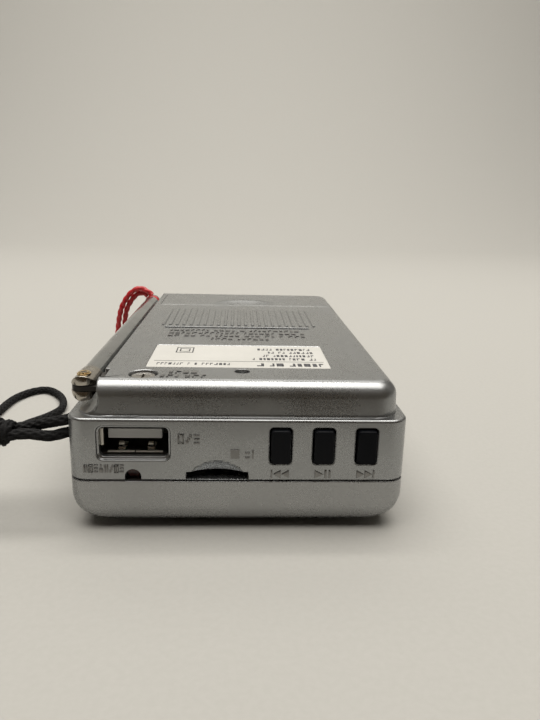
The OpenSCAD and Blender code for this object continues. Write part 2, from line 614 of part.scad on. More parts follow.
// smooth line through hand-set points
function cat(a, b, c, d, t) = 0.5*((2*b) + (c - a)*t + (2*a - 5*b + 4*c - d)*t*t + (3*b - a - 3*c + d)*t*t*t);
function smooth(p, k) = let (n = len(p)) [for (i = [0:n - 2], j = [0:k - 1])
  cat(p[max(i - 1, 0)], p[i], p[i + 1], p[min(i + 2, n - 1)], j/k), p[n - 1]];
module cord_tube(p, r, n = 8) {
  m = len(p);
  pts = [for (i = [0:m - 1]) each loop_ring(p[i], tangent(p, i), r, n)];
  polyhedron(points = pts, faces = concat([[for (k = [0:n - 1]) k]],
    [for (i = [0:m - 2], k = [0:n - 1]) [i*n + k, (i + 1)*n + k, (i + 1)*n + (k + 1)%n, i*n + (k + 1)%n]],
    [[for (k = [n - 1:-1:0]) (m - 1)*n + k]]), convexity = 6);
}
strap_d = 2.1;
strap_route = [
  [-28.05, -47.6, 19.5], [-28.6, -47.6, 20.4], [-29.8, -47.6, 20.55], [-32, -47.7, 19.6],
  [-35.2, -47.5, 18.9], [-38.9, -47.0, 18.0], [-42.5, -47.8, 17.6], [-47, -48.2, 16.6],
  [-54, -42, 9], [-59, -30, 2.4],
  [-59.6, -14, 1.15], [-56.4, -3, 1.15], [-52.2, 4, 1.15], [-50.2, 10.5, 1.15], [-51.6, 17.7, 1.15],
  [-55, 24.2, 1.15], [-59.4, 28, 1.15], [-63.2, 26, 1.15], [-65.8, 20.5, 1.15], [-66.6, 14, 1.15],
  [-66.6, 6, 1.15], [-68, -6, 1.15], [-70, -22, 1.15], [-67, -37, 2.8], [-58, -47, 9], [-48, -50.2, 15.5],
  [-42.5, -50, 17.1], [-38.9, -49.4, 17.3], [-35.2, -48.6, 16.6], [-32, -47.8, 17.1], [-29.8, -47.6, 17.2],
  [-28.6, -47.6, 17.35], [-28.05, -47.6, 18.3]];
module strap_cord() color("black") cord_tube(smooth(strap_route, 2), strap_d/2);
module strap_knot() color("black") at(-42.4, -48.9, 17.6) rotate([0, -97, 0]) rotate_extrude()
  polygon([[0, 0], [2.1, 0], [2.9, 1.4], [3.4, 3.4], [3.3, 5.4], [2.8, 6.8], [3, 8], [3.3, 9.4],
    [3, 11], [2, 12], [0, 12.3]]);
tie_d = 1.8;
tip_y = tube_y1 + 1.8;
tie_route = [
  [-28.8, tip_y, 28.3], [-30.5, tip_y + 0.2, 29.6], [-32.8, tip_y + 0.4, 30.4], [-35.2, tip_y + 0.6, 29.4],
  [-37.4, tip_y + 0.8, 27], [-39.4, tip_y + 1, 23], [-40.6, tip_y + 1.6, 17], [-41.4, tip_y + 2.6, 10],
  [-42, tip_y + 3.6, 4.4], [-41.6, tip_y + 4.6, 1.6], [-40.4, tip_y + 5.6, 3.6], [-39.4, tip_y + 5, 10],
  [-38.8, tip_y + 3.6, 17], [-37.8, tip_y + 2.4, 22.6], [-35.8, tip_y + 1.8, 26.4],
  [-33.6, tip_y + 1.5, 28.5], [-31.6, tip_y + 1.4, 28.6], [-30.4, tip_y + 1.3, 27.9]];
module tie_cord() color("crimson") cord_tube(tie_route, tie_d/2);
module tie_hitch() color("crimson") at(ant_x, tip_y - 0.9, ant_z) rotate([-90, 0, 0]) ring(2.6, 1.3, 1.8);

front_case();
rear_case();
battery_door();
dial_window();
spec_label();
antenna_screw();
case_screws();
board_screws();
antenna_bracket();
antenna_stud();
antenna_fork();
antenna_rivet();
antenna_tube_1();
antenna_tube_2();
antenna_tube_3();
antenna_rod();
antenna_tip();
player_pcb();
usb_shell();
usb_springs();
usb_tongue();
usb_contacts();
card_socket();
prev_button();
play_button();
next_button();
tact_switches();
play_led();
player_chips();
main_pcb();
tuning_capacitor();
tuning_wheel();
dial_disc();
tuning_screw();
volume_pot();
volume_wheel();
volume_screw();
tuner_ic();
audio_ic();
if_cans();
capacitors();
ferrite_rod();
antenna_coil();
rod_holders();
speaker_frame();
speaker_magnet();
speaker_cone();
earphone_jack();
band_switch();
band_knob();
battery_1();
battery_2();
battery_link();
battery_plate();
battery_spring();
strap_cord();
strap_knot();
tie_cord();
tie_hitch();
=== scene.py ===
"""Looks of the pocket radio: shells, cords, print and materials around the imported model."""
import json
import math
import random

import bmesh
import bpy
from mathutils import Matrix, Vector

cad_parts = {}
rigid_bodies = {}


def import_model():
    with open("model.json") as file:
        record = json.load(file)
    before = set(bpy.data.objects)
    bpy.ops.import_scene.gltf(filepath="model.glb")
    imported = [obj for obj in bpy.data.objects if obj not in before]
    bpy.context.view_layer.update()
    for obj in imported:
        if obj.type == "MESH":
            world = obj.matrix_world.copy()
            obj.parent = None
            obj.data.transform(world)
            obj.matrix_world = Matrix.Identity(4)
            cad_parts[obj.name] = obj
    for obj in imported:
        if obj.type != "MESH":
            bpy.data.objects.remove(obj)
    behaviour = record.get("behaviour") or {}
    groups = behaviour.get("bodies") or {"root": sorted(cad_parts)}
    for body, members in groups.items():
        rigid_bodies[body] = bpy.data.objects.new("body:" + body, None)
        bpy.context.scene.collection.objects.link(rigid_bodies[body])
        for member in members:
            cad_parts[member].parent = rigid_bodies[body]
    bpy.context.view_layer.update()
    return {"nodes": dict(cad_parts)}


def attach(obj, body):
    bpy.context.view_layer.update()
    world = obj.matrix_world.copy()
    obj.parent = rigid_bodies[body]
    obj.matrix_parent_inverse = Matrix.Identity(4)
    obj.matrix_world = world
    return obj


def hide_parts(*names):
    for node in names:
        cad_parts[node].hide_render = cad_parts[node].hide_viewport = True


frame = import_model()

NODES = frame["nodes"]
MM = 0.001
PI = math.pi


# ---------------------------------------------------------------- sizes, mm
W, L, T = 62.0, 108.0, 28.4          # case
NEAR = -L / 2
HW = W / 2
FRONT_H, BAND_Z = 10.0, 22.0
CROWN_R, CROWN_UP = 340.0, 1.2       # crowned front, and how far it stands behind its flat panel
CROWN_C = CROWN_R + CROWN_UP
SIDE_R, END_R = 6.0, 3.5             # rounded lower edges at the sides and the ends
HX, HY = 29.5, 52.5                  # raised back, half sizes
HUMP_IN, HUMP_R = 1.5, 3.0           # how far it stands in from the case, and its rounded upper edge
WALL = 1.8
IN_TOP = T - WALL
CH_X, CH_Z, CH_R = -25.5, 22.3, 2.6  # antenna channel: wall, floor, hollow
AY = NEAR + 7.4                      # fold rivet
ANT_X, ANT_Z = -28.8, 25.9
USB_X, USB_Z = -18.95, 17.4
CARD_X = -3.9
LED_X = -19.15
BTN_X, BTN_STEP, BTN_Z = 7.6, 7.85, 16.95
SCREW_X, SCREW_Y = -17.9, NEAR + 7.1
STRAP_Y, STRAP_Z = NEAR + 6.4, 18.9
BAY_Y0, BAY_Y1, BAY_Z = 21.9, L / 2 - WALL, 11.0
DOOR_Y = NEAR + 82.6
TUNE_Y, VOL_Y, WHEEL_Z = -21.0, 3.0, 6.7
JACK_Y, JACK_Z, SW_Y, SW_Z = -18.0, 15.2, 6.0, 14.6
SPK_X, SPK_Y = -4.0, 12.65
WIN_X0, WIN_X1 = 7.6, 17.6
TIP_Y = 46.12
STRAP_D, TIE_D = 2.1, 1.8
LABEL_X, LABEL_Y = -0.15, NEAR + 21.2
CASE_SCREW_X, CASE_SCREW_Y = 0.45, NEAR + 9.3
PANEL_X, PANEL_Y, PANEL_C = 22.0, 46.0, 2.5    # flat panel of the front: half sizes, cut corners
SLOT_STEP, SLOTS_R = 2.3, 14.5       # speaker slots
RIB_COUNT, RIB_X, RIB_STEP = 23, -19.9, 1.75
RIB_W, RIB_Y0, RIB_Y1 = 0.8, 51.8, 74.6        # width, and both ends measured from the socket end
MARK_OUT, MARK_IN = 0.22, 0.2        # raised marks: height above the wall, and how far they are sunk in
GRIP_R, SCOOP_R = 35.0, 10.0
CORNER_STEPS = 10                    # segments of the shells' rounded corners
LAMP = (1.0, 0.97, 0.92)


def link(ob):
    """Puts an object into the scene, once."""
    objects = bpy.context.scene.collection.objects
    if ob.name not in objects:
        objects.link(ob)


# ---------------------------------------------------------------- camera
def add_camera():
    """The photo's camera as it was fitted: angles in radians, place in metres."""
    pitch, yaw, roll = 0.2575, 0.0521, 0.025
    ahead = Vector((math.sin(yaw) * math.cos(pitch), math.cos(yaw) * math.cos(pitch), -math.sin(pitch)))
    side = Vector((math.cos(yaw), -math.sin(yaw), 0))
    down = ahead.cross(side)
    right = side * math.cos(roll) - down * math.sin(roll)
    down = side * math.sin(roll) + down * math.cos(roll)
    cam = bpy.data.objects.new("camera", bpy.data.cameras.new("camera"))
    link(cam)
    cam.data.sensor_width = 36
    cam.data.sensor_fit = "HORIZONTAL"
    cam.data.lens = 41.61
    cam.data.clip_start = 0.005
    place = Vector((-0.00027, -0.15917, 0.06087))
    rows = [(right[i], -down[i], -ahead[i], place[i]) for i in range(3)]
    cam.matrix_world = Matrix(rows + [(0, 0, 0, 1)])
    bpy.context.scene.camera = cam


# ---------------------------------------------------------------- mesh helpers, in mm until seal()
def raw(name, verts, faces):
    me = bpy.data.meshes.new(name)
    me.from_pydata([tuple(v) for v in verts], [], faces)
    return bpy.data.objects.new(name, me)


def outline(w, l, r, n):
    """Rounded rectangle, counter-clockwise."""
    r = max(r, 0.02)
    pts = []
    for q, (sx, sy) in enumerate(((1, 1), (-1, 1), (-1, -1), (1, -1))):
        for k in range(n + 1):
            a = PI / 2 * (q + k / n)
            pts.append((sx * (w / 2 - r) + r * math.cos(a), sy * (l / 2 - r) + r * math.sin(a)))
    return pts


def loft(loops, name="loft"):
    """Closed solid through loops of 3-D points that all have the same count."""
    n = len(loops[0])
    verts = [p for lp in loops for p in lp]
    faces = [tuple(range(n - 1, -1, -1))]
    for i in range(len(loops) - 1):
        a, b = i * n, (i + 1) * n
        faces += [(a + k, a + (k + 1) % n, b + (k + 1) % n, b + k) for k in range(n)]
    faces.append(tuple(range((len(loops) - 1) * n, len(loops) * n)))
    return raw(name, verts, faces)


def stack(levels, cx=0.0, cy=0.0, n=8):
    """Loft up Z through (width, length, corner radius, z)."""
    return loft([[(cx + x, cy + y, z) for x, y in outline(w, l, r, n)] for w, l, r, z in levels])


def box(x0, x1, y0, y1, z0, z1):
    return loft([[(x0, y0, z), (x1, y0, z), (x1, y1, z), (x0, y1, z)] for z in (z0, z1)])


def prism(pts, axis, a, b):
    """Prism of a counter-clockwise outline along X, Y or Z, from a to b."""
    put = {"X": lambda u, v, t: (t, u, v),
           "Y": lambda u, v, t: (u, t, v),
           "Z": lambda u, v, t: (u, v, t)}[axis]
    if axis == "Y":
        a, b = b, a
    return loft([[put(u, v, a) for u, v in pts], [put(u, v, b) for u, v in pts]])


def disc(cu, cv, r, n=48):
    return [(cu + r * math.cos(2 * PI * k / n), cv + r * math.sin(2 * PI * k / n)) for k in range(n)]


def rod(axis, cu, cv, r, a, b, n=48):
    return prism(disc(cu, cv, r, n), axis, a, b)


def mouth(cx, cz, steps):
    """Opening in the socket end: (width, height, radius, y) from outside to inside."""
    loops = []
    for w, h, r, y in steps:
        loops.append([(cx + u, y, cz + v) for u, v in outline(w, h, r, 6)])
    return loft(loops[::-1])


def ball(c, r, seg=96, rings=64):
    bm = bmesh.new()
    bmesh.ops.create_uvsphere(bm, u_segments=seg, v_segments=rings, radius=r)
    bmesh.ops.translate(bm, verts=bm.verts, vec=c)
    me = bpy.data.meshes.new("ball")
    bm.to_mesh(me)
    bm.free()
    return bpy.data.objects.new("ball", me)


def apply_modifiers(ob):
    deps = bpy.context.evaluated_depsgraph_get()
    me = bpy.data.meshes.new_from_object(ob.evaluated_get(deps))
    ob.modifiers.clear()
    ob.data = me


def combine(ob, others, how):
    """Boolean of ob with all the others, applied; the others are used up."""
    scene = bpy.context.scene.collection
    col = bpy.data.collections.new("work")
    scene.children.link(col)
    link(ob)
    for o in others:
        col.objects.link(o)
    m = ob.modifiers.new("b", "BOOLEAN")
    m.operand_type = "COLLECTION"
    m.collection = col
    m.operation = how
    m.solver = "EXACT"
    m.use_self = how == "UNION"
    apply_modifiers(ob)
    for o in others:
        bpy.data.objects.remove(o)
    scene.children.unlink(col)
    bpy.data.collections.remove(col)
    return ob


def cut(ob, *others):
    return combine(ob, others, "DIFFERENCE")


def join(ob, *others):
    return combine(ob, others, "UNION")


def score(ob, xs, ys, zs=()):
    """Splits the faces of ob along planes, so that no later opening lies inside one face."""
    bm = bmesh.new()
    bm.from_mesh(ob.data)
    for values, axis in ((xs, 0), (ys, 1), (zs, 2)):
        for v in values:
            place, normal = [0.0] * 3, [0.0] * 3
            place[axis], normal[axis] = v, 1.0
            bmesh.ops.bisect_plane(bm, geom=bm.verts[:] + bm.edges[:] + bm.faces[:], dist=1e-5,
                                   plane_co=place, plane_no=normal)
    bm.to_mesh(ob.data)
    bm.free()
    return ob


def add(ob, *others):
    """Puts more closed shells into ob's mesh, sunk a little into it, with no boolean."""
    bm = bmesh.new()
    bm.from_mesh(ob.data)
    for o in others:
        bm.from_mesh(o.data)
        bpy.data.objects.remove(o)
    bm.to_mesh(ob.data)
    bm.free()
    return ob


def keep(ob, other):
    """What ob and one other solid share; the other is used up."""
    link(ob)
    link(other)
    m = ob.modifiers.new("b", "BOOLEAN")
    m.object = other
    m.operation = "INTERSECT"
    m.solver = "EXACT"
    apply_modifiers(ob)
    bpy.data.objects.remove(other)
    return ob


def seal(ob, name, body, mat, width):
    """Names a finished solid, takes it to metres, rounds its edges and hangs it on its body."""
    link(ob)
    ob.name = name
    ob.data.name = name
    bm = bmesh.new()
    bm.from_mesh(ob.data)
    bmesh.ops.remove_doubles(bm, verts=bm.verts, dist=0.002)
    bmesh.ops.recalc_face_normals(bm, faces=bm.faces)
    bmesh.ops.scale(bm, vec=(MM, MM, MM), verts=bm.verts)
    for f in bm.faces:
        f.smooth = True
    bm.to_mesh(ob.data)
    bm.free()
    ob.data.materials.clear()
    ob.data.materials.append(mat)
    if width:
        round_edges(ob, width, 38)
    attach(ob, body)
    return ob


def round_edges(ob, width, angle):
    b = ob.modifiers.new("edges", "BEVEL")
    b.limit_method = "ANGLE"
    b.angle_limit = math.radians(angle)
    b.width = width * MM
    b.segments = 2
    b.use_clamp_overlap = False
    n = ob.modifiers.new("normals", "WEIGHTED_NORMAL")
    n.keep_sharp = True


def spread(points, step):
    """Even points, about step apart, along a smooth curve through the route, and the curve's length."""
    pts = [Vector(p) for p in points]
    parts = 24
    fine = []
    for i in range(len(pts) - 1):
        a, b, c, d = pts[max(i - 1, 0)], pts[i], pts[i + 1], pts[min(i + 2, len(pts) - 1)]
        for k in range(parts):
            t = k / parts
            fine.append(0.5 * (2 * b + (c - a) * t + (2 * a - 5 * b + 4 * c - d) * t * t
                               + (3 * b - a - 3 * c + d) * t ** 3))
    fine.append(pts[-1])
    total = sum((fine[i + 1] - fine[i]).length for i in range(len(fine) - 1))
    n = max(2, round(total / step))
    out, want, run = [fine[0]], total / n, 0.0
    nxt = want
    for i in range(len(fine) - 1):
        seg = (fine[i + 1] - fine[i]).length
        while run + seg >= nxt - 1e-9 and len(out) < n:
            out.append(fine[i].lerp(fine[i + 1], (nxt - run) / seg))
            nxt += want
        run += seg
    out.append(fine[-1])
    return out, total


def strand_height(angle, run, strands, twist):
    """How far the strands stand out there: 0 in a groove, 1 on a crown."""
    if twist:
        return (0.5 + 0.5 * math.cos(strands * angle + run)) ** 0.7
    left = math.cos(strands * angle / 2 + run)
    right = math.cos(strands * angle / 2 - run)
    return max(abs(left), abs(right)) ** 1.5


def braid(name, points, d, step, lay, depth, strands, around, twist=False):
    """Tube along points with the bumps of a braid, or of a twist; every length in mm."""
    pts, total = spread(points, step)
    loops = []
    tang = [(pts[min(i + 1, len(pts) - 1)] - pts[max(i - 1, 0)]).normalized() for i in range(len(pts))]
    up = Vector((0, 0, 1)) if abs(tang[0].z) < 0.8 else Vector((0, 1, 0))
    u = tang[0].cross(up).normalized()
    s = 0.0
    for i, p in enumerate(pts):
        if i:
            s += (p - pts[i - 1]).length
            u = (u - tang[i] * u.dot(tang[i])).normalized()
        v = tang[i].cross(u)
        loop = []
        for k in range(around):
            a = 2 * PI * k / around
            r = d / 2 * (1 - depth + depth * strand_height(a, 2 * PI * s / lay, strands, twist))
            loop.append(p + (u * math.cos(a) + v * math.sin(a)) * r)
        loops.append(loop)
    return loft(loops, name), total, pts


# ---------------------------------------------------------------- materials
class Paint:
    """A Principled material whose colour, gloss and surface vary by noise in object space."""

    def __init__(self, name, colour, rough=0.4, metal=0.0, **sockets):
        self.mat = bpy.data.materials.new(name)
        self.mat.use_nodes = True
        self.mat.diffuse_color = (*colour, 1)
        self.t = self.mat.node_tree
        self.bsdf = self.t.nodes["Principled BSDF"]
        self.place = self.t.nodes.new("ShaderNodeTexCoord").outputs["Object"]
        self.colour, self.rough = colour, rough
        self.set("Base Color", (*colour, 1))
        self.set("Roughness", rough)
        self.set("Metallic", metal)
        for k, v in sockets.items():
            self.set(k.replace("_", " "), v)
        self.bump_out = None

    def set(self, key, value):
        self.bsdf.inputs[key].default_value = value

    def node(self, kind, **inputs):
        n = self.t.nodes.new("ShaderNode" + kind)
        for k, v in inputs.items():
            k = k.replace("_", " ")
            if isinstance(v, bpy.types.NodeSocket):
                self.t.links.new(v, n.inputs[k])
            else:
                n.inputs[k].default_value = v
        return n

    def math(self, op, a, b):
        n = self.t.nodes.new("ShaderNodeMath")
        n.operation = op
        for i, v in enumerate((a, b)):
            if isinstance(v, bpy.types.NodeSocket):
                self.t.links.new(v, n.inputs[i])
            else:
                n.inputs[i].default_value = v
        return n.outputs[0]

    def noise(self, scale, detail=2.0, stretch=None, rough=0.5):
        place = self.place
        if stretch:
            m = self.node("Mapping", Vector=place, Scale=stretch)
            place = m.outputs[0]
        n = self.node("TexNoise", Vector=place, Scale=scale, Detail=detail, Roughness=rough)
        return n.outputs["Fac"]

    def cells(self, scale):
        return self.node("TexVoronoi", Vector=self.place, Scale=scale).outputs["Color"]

    def span(self, value, a, b, lo, hi):
        n = self.node("MapRange", Value=value)
        for k, v in (("From Min", a), ("From Max", b), ("To Min", lo), ("To Max", hi)):
            n.inputs[k].default_value = v
        return n.outputs["Result"]

    def mix(self, fac, a, b):
        n = self.t.nodes.new("ShaderNodeMix")
        n.data_type = "RGBA"
        for idx, v in ((0, fac), (6, a), (7, b)):
            if isinstance(v, bpy.types.NodeSocket):
                self.t.links.new(v, n.inputs[idx])
            else:
                n.inputs[idx].default_value = (*v, 1) if idx else v
        return n.outputs[2]

    def tone(self, out):
        self.t.links.new(out, self.bsdf.inputs["Base Color"])
        return self

    def gloss(self, out):
        self.t.links.new(out, self.bsdf.inputs["Roughness"])
        return self

    def bump(self, height, strength, distance=0.00005):
        n = self.t.nodes.new("ShaderNodeBump")
        n.inputs["Strength"].default_value = strength
        n.inputs["Distance"].default_value = distance
        self.t.links.new(height, n.inputs["Height"])
        if self.bump_out:
            self.t.links.new(self.bump_out, n.inputs["Normal"])
        self.bump_out = n.outputs[0]
        self.t.links.new(self.bump_out, self.bsdf.inputs["Normal"])
        return self

    def vary(self, other, scale=60.0, grain=900.0, relief=0.15):
        """The usual finish: two tones in soft patches, uneven gloss, fine surface grain."""
        patch = self.span(self.noise(scale, 3.0), 0.35, 0.65, 0.0, 1.0)
        self.tone(self.mix(patch, self.colour, other))
        uneven = self.noise(scale * 2.3, 3.0)
        self.gloss(self.span(uneven, 0.3, 0.7, max(self.rough - 0.05, 0.02), self.rough + 0.05))
        self.bump(self.noise(grain, 2.0), relief)
        return self


def silver(name, base, rough):
    """Metallic-flake paint over moulded plastic, with rubbed and dusty patches."""
    p = Paint(name, base, rough, 0.92)
    sep = p.node("SeparateColor", Color=p.cells(5200.0))
    fleck = p.span(sep.outputs[0], 0.0, 1.0, -0.04, 0.04)
    fine = p.span(p.noise(14000.0, 1.0), 0.3, 0.7, -0.03, 0.03)
    cloud = p.span(p.noise(45.0, 4.0), 0.3, 0.7, -0.03, 0.03)
    total = p.math("ADD", p.math("ADD", fleck, fine), cloud)
    bright = p.math("ADD", total, 1.0)
    tint = p.node("VectorMath")
    tint.operation = "SCALE"
    tint.inputs[0].default_value = base
    p.t.links.new(bright, tint.inputs["Scale"])
    p.tone(tint.outputs[0])
    smear = p.noise(70.0, 5.0, (1.0, 0.45, 1.0), 0.6)
    p.gloss(p.math("ADD", p.span(smear, 0.3, 0.75, rough - 0.05, rough + 0.08),
                   p.span(sep.outputs[1], 0.0, 1.0, -0.04, 0.04)))
    p.bump(sep.outputs[2], 0.03, 0.00001)
    p.bump(p.noise(1500.0, 2.0), 0.025, 0.00001)
    p.bump(p.noise(220.0, 1.0), 0.05, 0.00003)
    return p.mat


def chrome(name, base, rough, along="Y"):
    """Plated metal with fine draw lines along its length and a few fingerprints."""
    p = Paint(name, base, rough, 1.0)
    s = {"X": (1, 40, 40), "Y": (40, 1, 40), "Z": (40, 40, 1)}[along]
    lines = p.noise(30.0, 3.0, s)
    prints = p.noise(160.0, 4.0)
    p.tone(p.mix(p.span(prints, 0.45, 0.75, 0, 1), base, tuple(c * 0.8 for c in base)))
    p.gloss(p.math("ADD", p.span(lines, 0.3, 0.7, rough * 0.6, rough * 1.4),
                   p.span(prints, 0.5, 0.75, 0.0, 0.12)))
    p.bump(lines, 0.08, 0.00002)
    return p.mat


def plain(name, colour, other, rough, metal=0.0, **kw):
    extra = {k: kw.pop(k) for k in list(kw) if k[0].isupper()}
    return Paint(name, colour, rough, metal, **extra).vary(other, **kw).mat


def board(name, colour, dark):
    """Circuit board: lacquer over copper tracks that show as lighter lines."""
    p = Paint(name, colour, 0.35, 0.0, Coat_Weight=0.4, Coat_Roughness=0.2)
    bricks = p.node("TexBrick", Vector=p.place, Scale=420.0)
    bricks.inputs["Color1"].default_value = (0, 0, 0, 1)
    bricks.inputs["Color2"].default_value = (0.2, 0.2, 0.2, 1)
    bricks.inputs["Mortar"].default_value = (1, 1, 1, 1)
    bricks.inputs["Mortar Size"].default_value = 0.06
    tone = p.mix(p.span(p.noise(220.0, 2.0), 0.4, 0.6, 0, 1), colour, dark)
    lines = p.node("SeparateColor", Color=bricks.outputs["Color"]).outputs[0]
    mixed = p.mix(p.math("MULTIPLY", lines, 0.35), (1, 1, 1), tuple(min(1, c * 2.2) for c in colour))
    p.t.links.new(tone, mixed.node.inputs[6])
    p.tone(mixed)
    p.bump(lines, 0.2, 0.00003)
    return p.mat


def make_materials():
    m = {}
    m["case"] = silver("case_silver_paint", (0.318, 0.325, 0.328), 0.28)
    m["front"] = silver("front_silver_paint", (0.335, 0.338, 0.338), 0.29)
    m["door"] = silver("door_silver_paint", (0.32, 0.327, 0.33), 0.28)
    # The raised marks use the case's silver made darker: painted shade for their shaded sides.
    m["marks"] = silver("mark_silver_shaded", (0.235, 0.232, 0.226), 0.33)
    # Steel of the antenna bracket and stud, made near black: painted shade where they show in the opening at
    # the channel's near end.
    m["bracket"] = plain("bracket_steel_shaded", (0.05, 0.047, 0.042), (0.03, 0.028, 0.026), 0.5, 0.85)
    m["button"] = plain("button_black_gloss", (0.004, 0.0045, 0.006), (0.007, 0.0075, 0.009), 0.34,
                        Specular_IOR_Level=0.08, grain=1500.0, relief=0.12)
    m["wheel"] = plain("wheel_black", (0.016, 0.016, 0.017), (0.03, 0.03, 0.03), 0.45, relief=0.25)
    m["chrome"] = chrome("antenna_chrome", (0.37, 0.378, 0.375), 0.16)
    m["fork"] = chrome("fork_nickel", (0.42, 0.39, 0.34), 0.2, "Z")
    m["steel"] = chrome("steel_screw", (0.42, 0.40, 0.37), 0.26, "X")
    m["shell"] = chrome("socket_steel", (0.60, 0.59, 0.57), 0.22)
    p = Paint("rivet_brass", (0.62, 0.46, 0.24), 0.24, 1.0)
    flat = p.node("Mapping", Vector=p.place, Scale=(1, 1, 0)).outputs[0]
    off = p.node("VectorMath", Vector=flat)
    off.operation = "DISTANCE"
    off.inputs[1].default_value = (ANT_X * MM, AY * MM, 0)
    # Dark centre of the rivet head: painted shade in its hollow bore; the same mask also sinks it by bump.
    bore_dent_and_shade = p.span(off.outputs["Value"], 0.00045, 0.0007, 1.0, 0.0)
    p.tone(p.mix(bore_dent_and_shade, (0.62, 0.46, 0.24), (0.07, 0.045, 0.025)))
    p.gloss(p.span(p.noise(900.0, 3.0), 0.3, 0.7, 0.18, 0.32))
    p.bump(bore_dent_and_shade, 0.5, -0.0002)
    m["brass"] = p.mat
    m["gold"] = plain("contact_gold", (0.80, 0.58, 0.24), (0.62, 0.42, 0.16), 0.22, 1.0, scale=600.0)
    # The socket's folded edges and springs: its sheet metal made lighter, as painted highlight.
    m["trim"] = plain("socket_edge_highlight", (0.72, 0.69, 0.62), (0.6, 0.57, 0.5), 0.34, 0.6)
    # The socket's sheet-metal shell, made near black: painted shade inside the socket's mouth.
    m["socket_shade"] = plain("socket_inside_shade", (0.05, 0.046, 0.04), (0.03, 0.028, 0.025), 0.4, 0.8)
    m["tongue"] = plain("socket_tongue", (0.50, 0.50, 0.49), (0.42, 0.42, 0.41), 0.42, relief=0.2)
    m["tip"] = chrome("tip_metal", (0.40, 0.39, 0.37), 0.28)
    m["led"] = plain("light_red", (0.10, 0.012, 0.012), (0.05, 0.01, 0.01), 0.2,
                     Transmission_Weight=0.3, relief=0.05)
    m["window"] = plain("dial_clear", (0.85, 0.87, 0.86), (0.8, 0.82, 0.82), 0.05,
                        Transmission_Weight=0.9, IOR=1.49, relief=0.03)
    m["white"] = plain("white_plastic", (0.72, 0.71, 0.68), (0.64, 0.63, 0.6), 0.42)
    m["can"] = chrome("coil_can", (0.66, 0.65, 0.62), 0.28, "Z")
    m["chip"] = plain("chip_black", (0.018, 0.018, 0.019), (0.03, 0.03, 0.03), 0.55,
                      grain=2500.0, relief=0.3)
    m["sleeve"] = plain("capacitor_sleeve", (0.02, 0.03, 0.09), (0.03, 0.045, 0.12), 0.28)
    m["ferrite"] = plain("ferrite_grey", (0.055, 0.054, 0.052), (0.09, 0.085, 0.08), 0.6,
                         grain=1800.0, relief=0.4)
    m["green"] = board("board_green", (0.03, 0.13, 0.06), (0.02, 0.09, 0.045))
    m["brown"] = board("board_brown", (0.30, 0.17, 0.07), (0.22, 0.12, 0.05))
    m["paper"] = plain("cone_paper", (0.03, 0.03, 0.032), (0.05, 0.048, 0.045), 0.85,
                       grain=2600.0, relief=0.5)
    m["magnet"] = plain("magnet_grey", (0.10, 0.10, 0.10), (0.14, 0.14, 0.135), 0.55,
                        grain=1500.0, relief=0.4)
    m["jack"] = plain("jack_black", (0.015, 0.015, 0.016), (0.028, 0.028, 0.028), 0.38)
    m["ink"] = plain("print_ink", (0.035, 0.035, 0.04), (0.07, 0.07, 0.075), 0.6, scale=800.0, relief=0.1)

    p = Paint("coil_wire", (0.42, 0.13, 0.035), 0.3, 0.9)
    w = p.node("TexWave", Vector=p.place, Scale=900.0)
    w.bands_direction = "X"
    # Tone follows the same waves as the bump: darker in the grooves between turns as painted shade, lighter
    # on the turns as painted highlight.
    p.tone(p.mix(w.outputs["Fac"], (0.22, 0.06, 0.02), (0.5, 0.17, 0.05)))
    p.bump(w.outputs["Fac"], 0.7, 0.0001)
    p.gloss(p.span(p.noise(300.0), 0.3, 0.7, 0.22, 0.4))
    m["wire"] = p.mat

    p = Paint("cell_jacket", (0.05, 0.10, 0.30), 0.28, 0.3, Coat_Weight=0.5, Coat_Roughness=0.12)
    xyz = p.node("SeparateXYZ", Vector=p.place)
    band = p.span(xyz.outputs[0], -0.0105, -0.0100, 0.0, 1.0)
    wear = p.span(p.noise(300.0, 4.0), 0.55, 0.75, 0.0, 0.35)
    tone = p.mix(band, (0.62, 0.60, 0.56), (0.04, 0.09, 0.28))
    last = p.mix(wear, (0, 0, 0), (0.35, 0.35, 0.36))
    p.t.links.new(tone, last.node.inputs[6])
    p.tone(last)
    p.gloss(p.span(p.noise(120.0, 3.0), 0.3, 0.7, 0.2, 0.36))
    m["cell"] = p.mat

    p = Paint("label_paper", (0.74, 0.72, 0.67), 0.5, 0.0, Coat_Weight=0.15, Coat_Roughness=0.25)
    fibre = p.noise(1400.0, 4.0, (1, 3, 1))
    p.tone(p.mix(p.span(p.noise(90.0, 4.0), 0.35, 0.7, 0, 1), (0.585, 0.575, 0.54), (0.53, 0.52, 0.485)))
    p.gloss(p.span(fibre, 0.3, 0.7, 0.42, 0.58))
    p.bump(fibre, 0.12, 0.00002)
    m["label"] = p.mat

    p = Paint("strap_braid", (0.008, 0.008, 0.009), 0.7, 0.0, Specular_IOR_Level=0.22)
    fibre = p.noise(4200.0, 3.0)
    p.tone(p.mix(p.span(fibre, 0.35, 0.7, 0, 1), (0.003, 0.003, 0.0035), (0.013, 0.0125, 0.0125)))
    p.gloss(p.span(p.noise(900.0), 0.3, 0.7, 0.62, 0.82))
    p.bump(fibre, 0.6, 0.00012)
    m["strap"] = p.mat

    p = Paint("tie_braid", (0.42, 0.02, 0.03), 0.4, 0.0, Coat_Weight=0.15, Coat_Roughness=0.3)
    fibre = p.noise(3600.0, 3.0)
    p.tone(p.mix(p.span(fibre, 0.35, 0.65, 0, 1), (0.36, 0.01, 0.014), (0.64, 0.02, 0.026)))
    p.gloss(p.span(p.noise(700.0), 0.3, 0.7, 0.24, 0.45))
    p.bump(fibre, 0.4, 0.0001)
    m["tie"] = p.mat
    return m


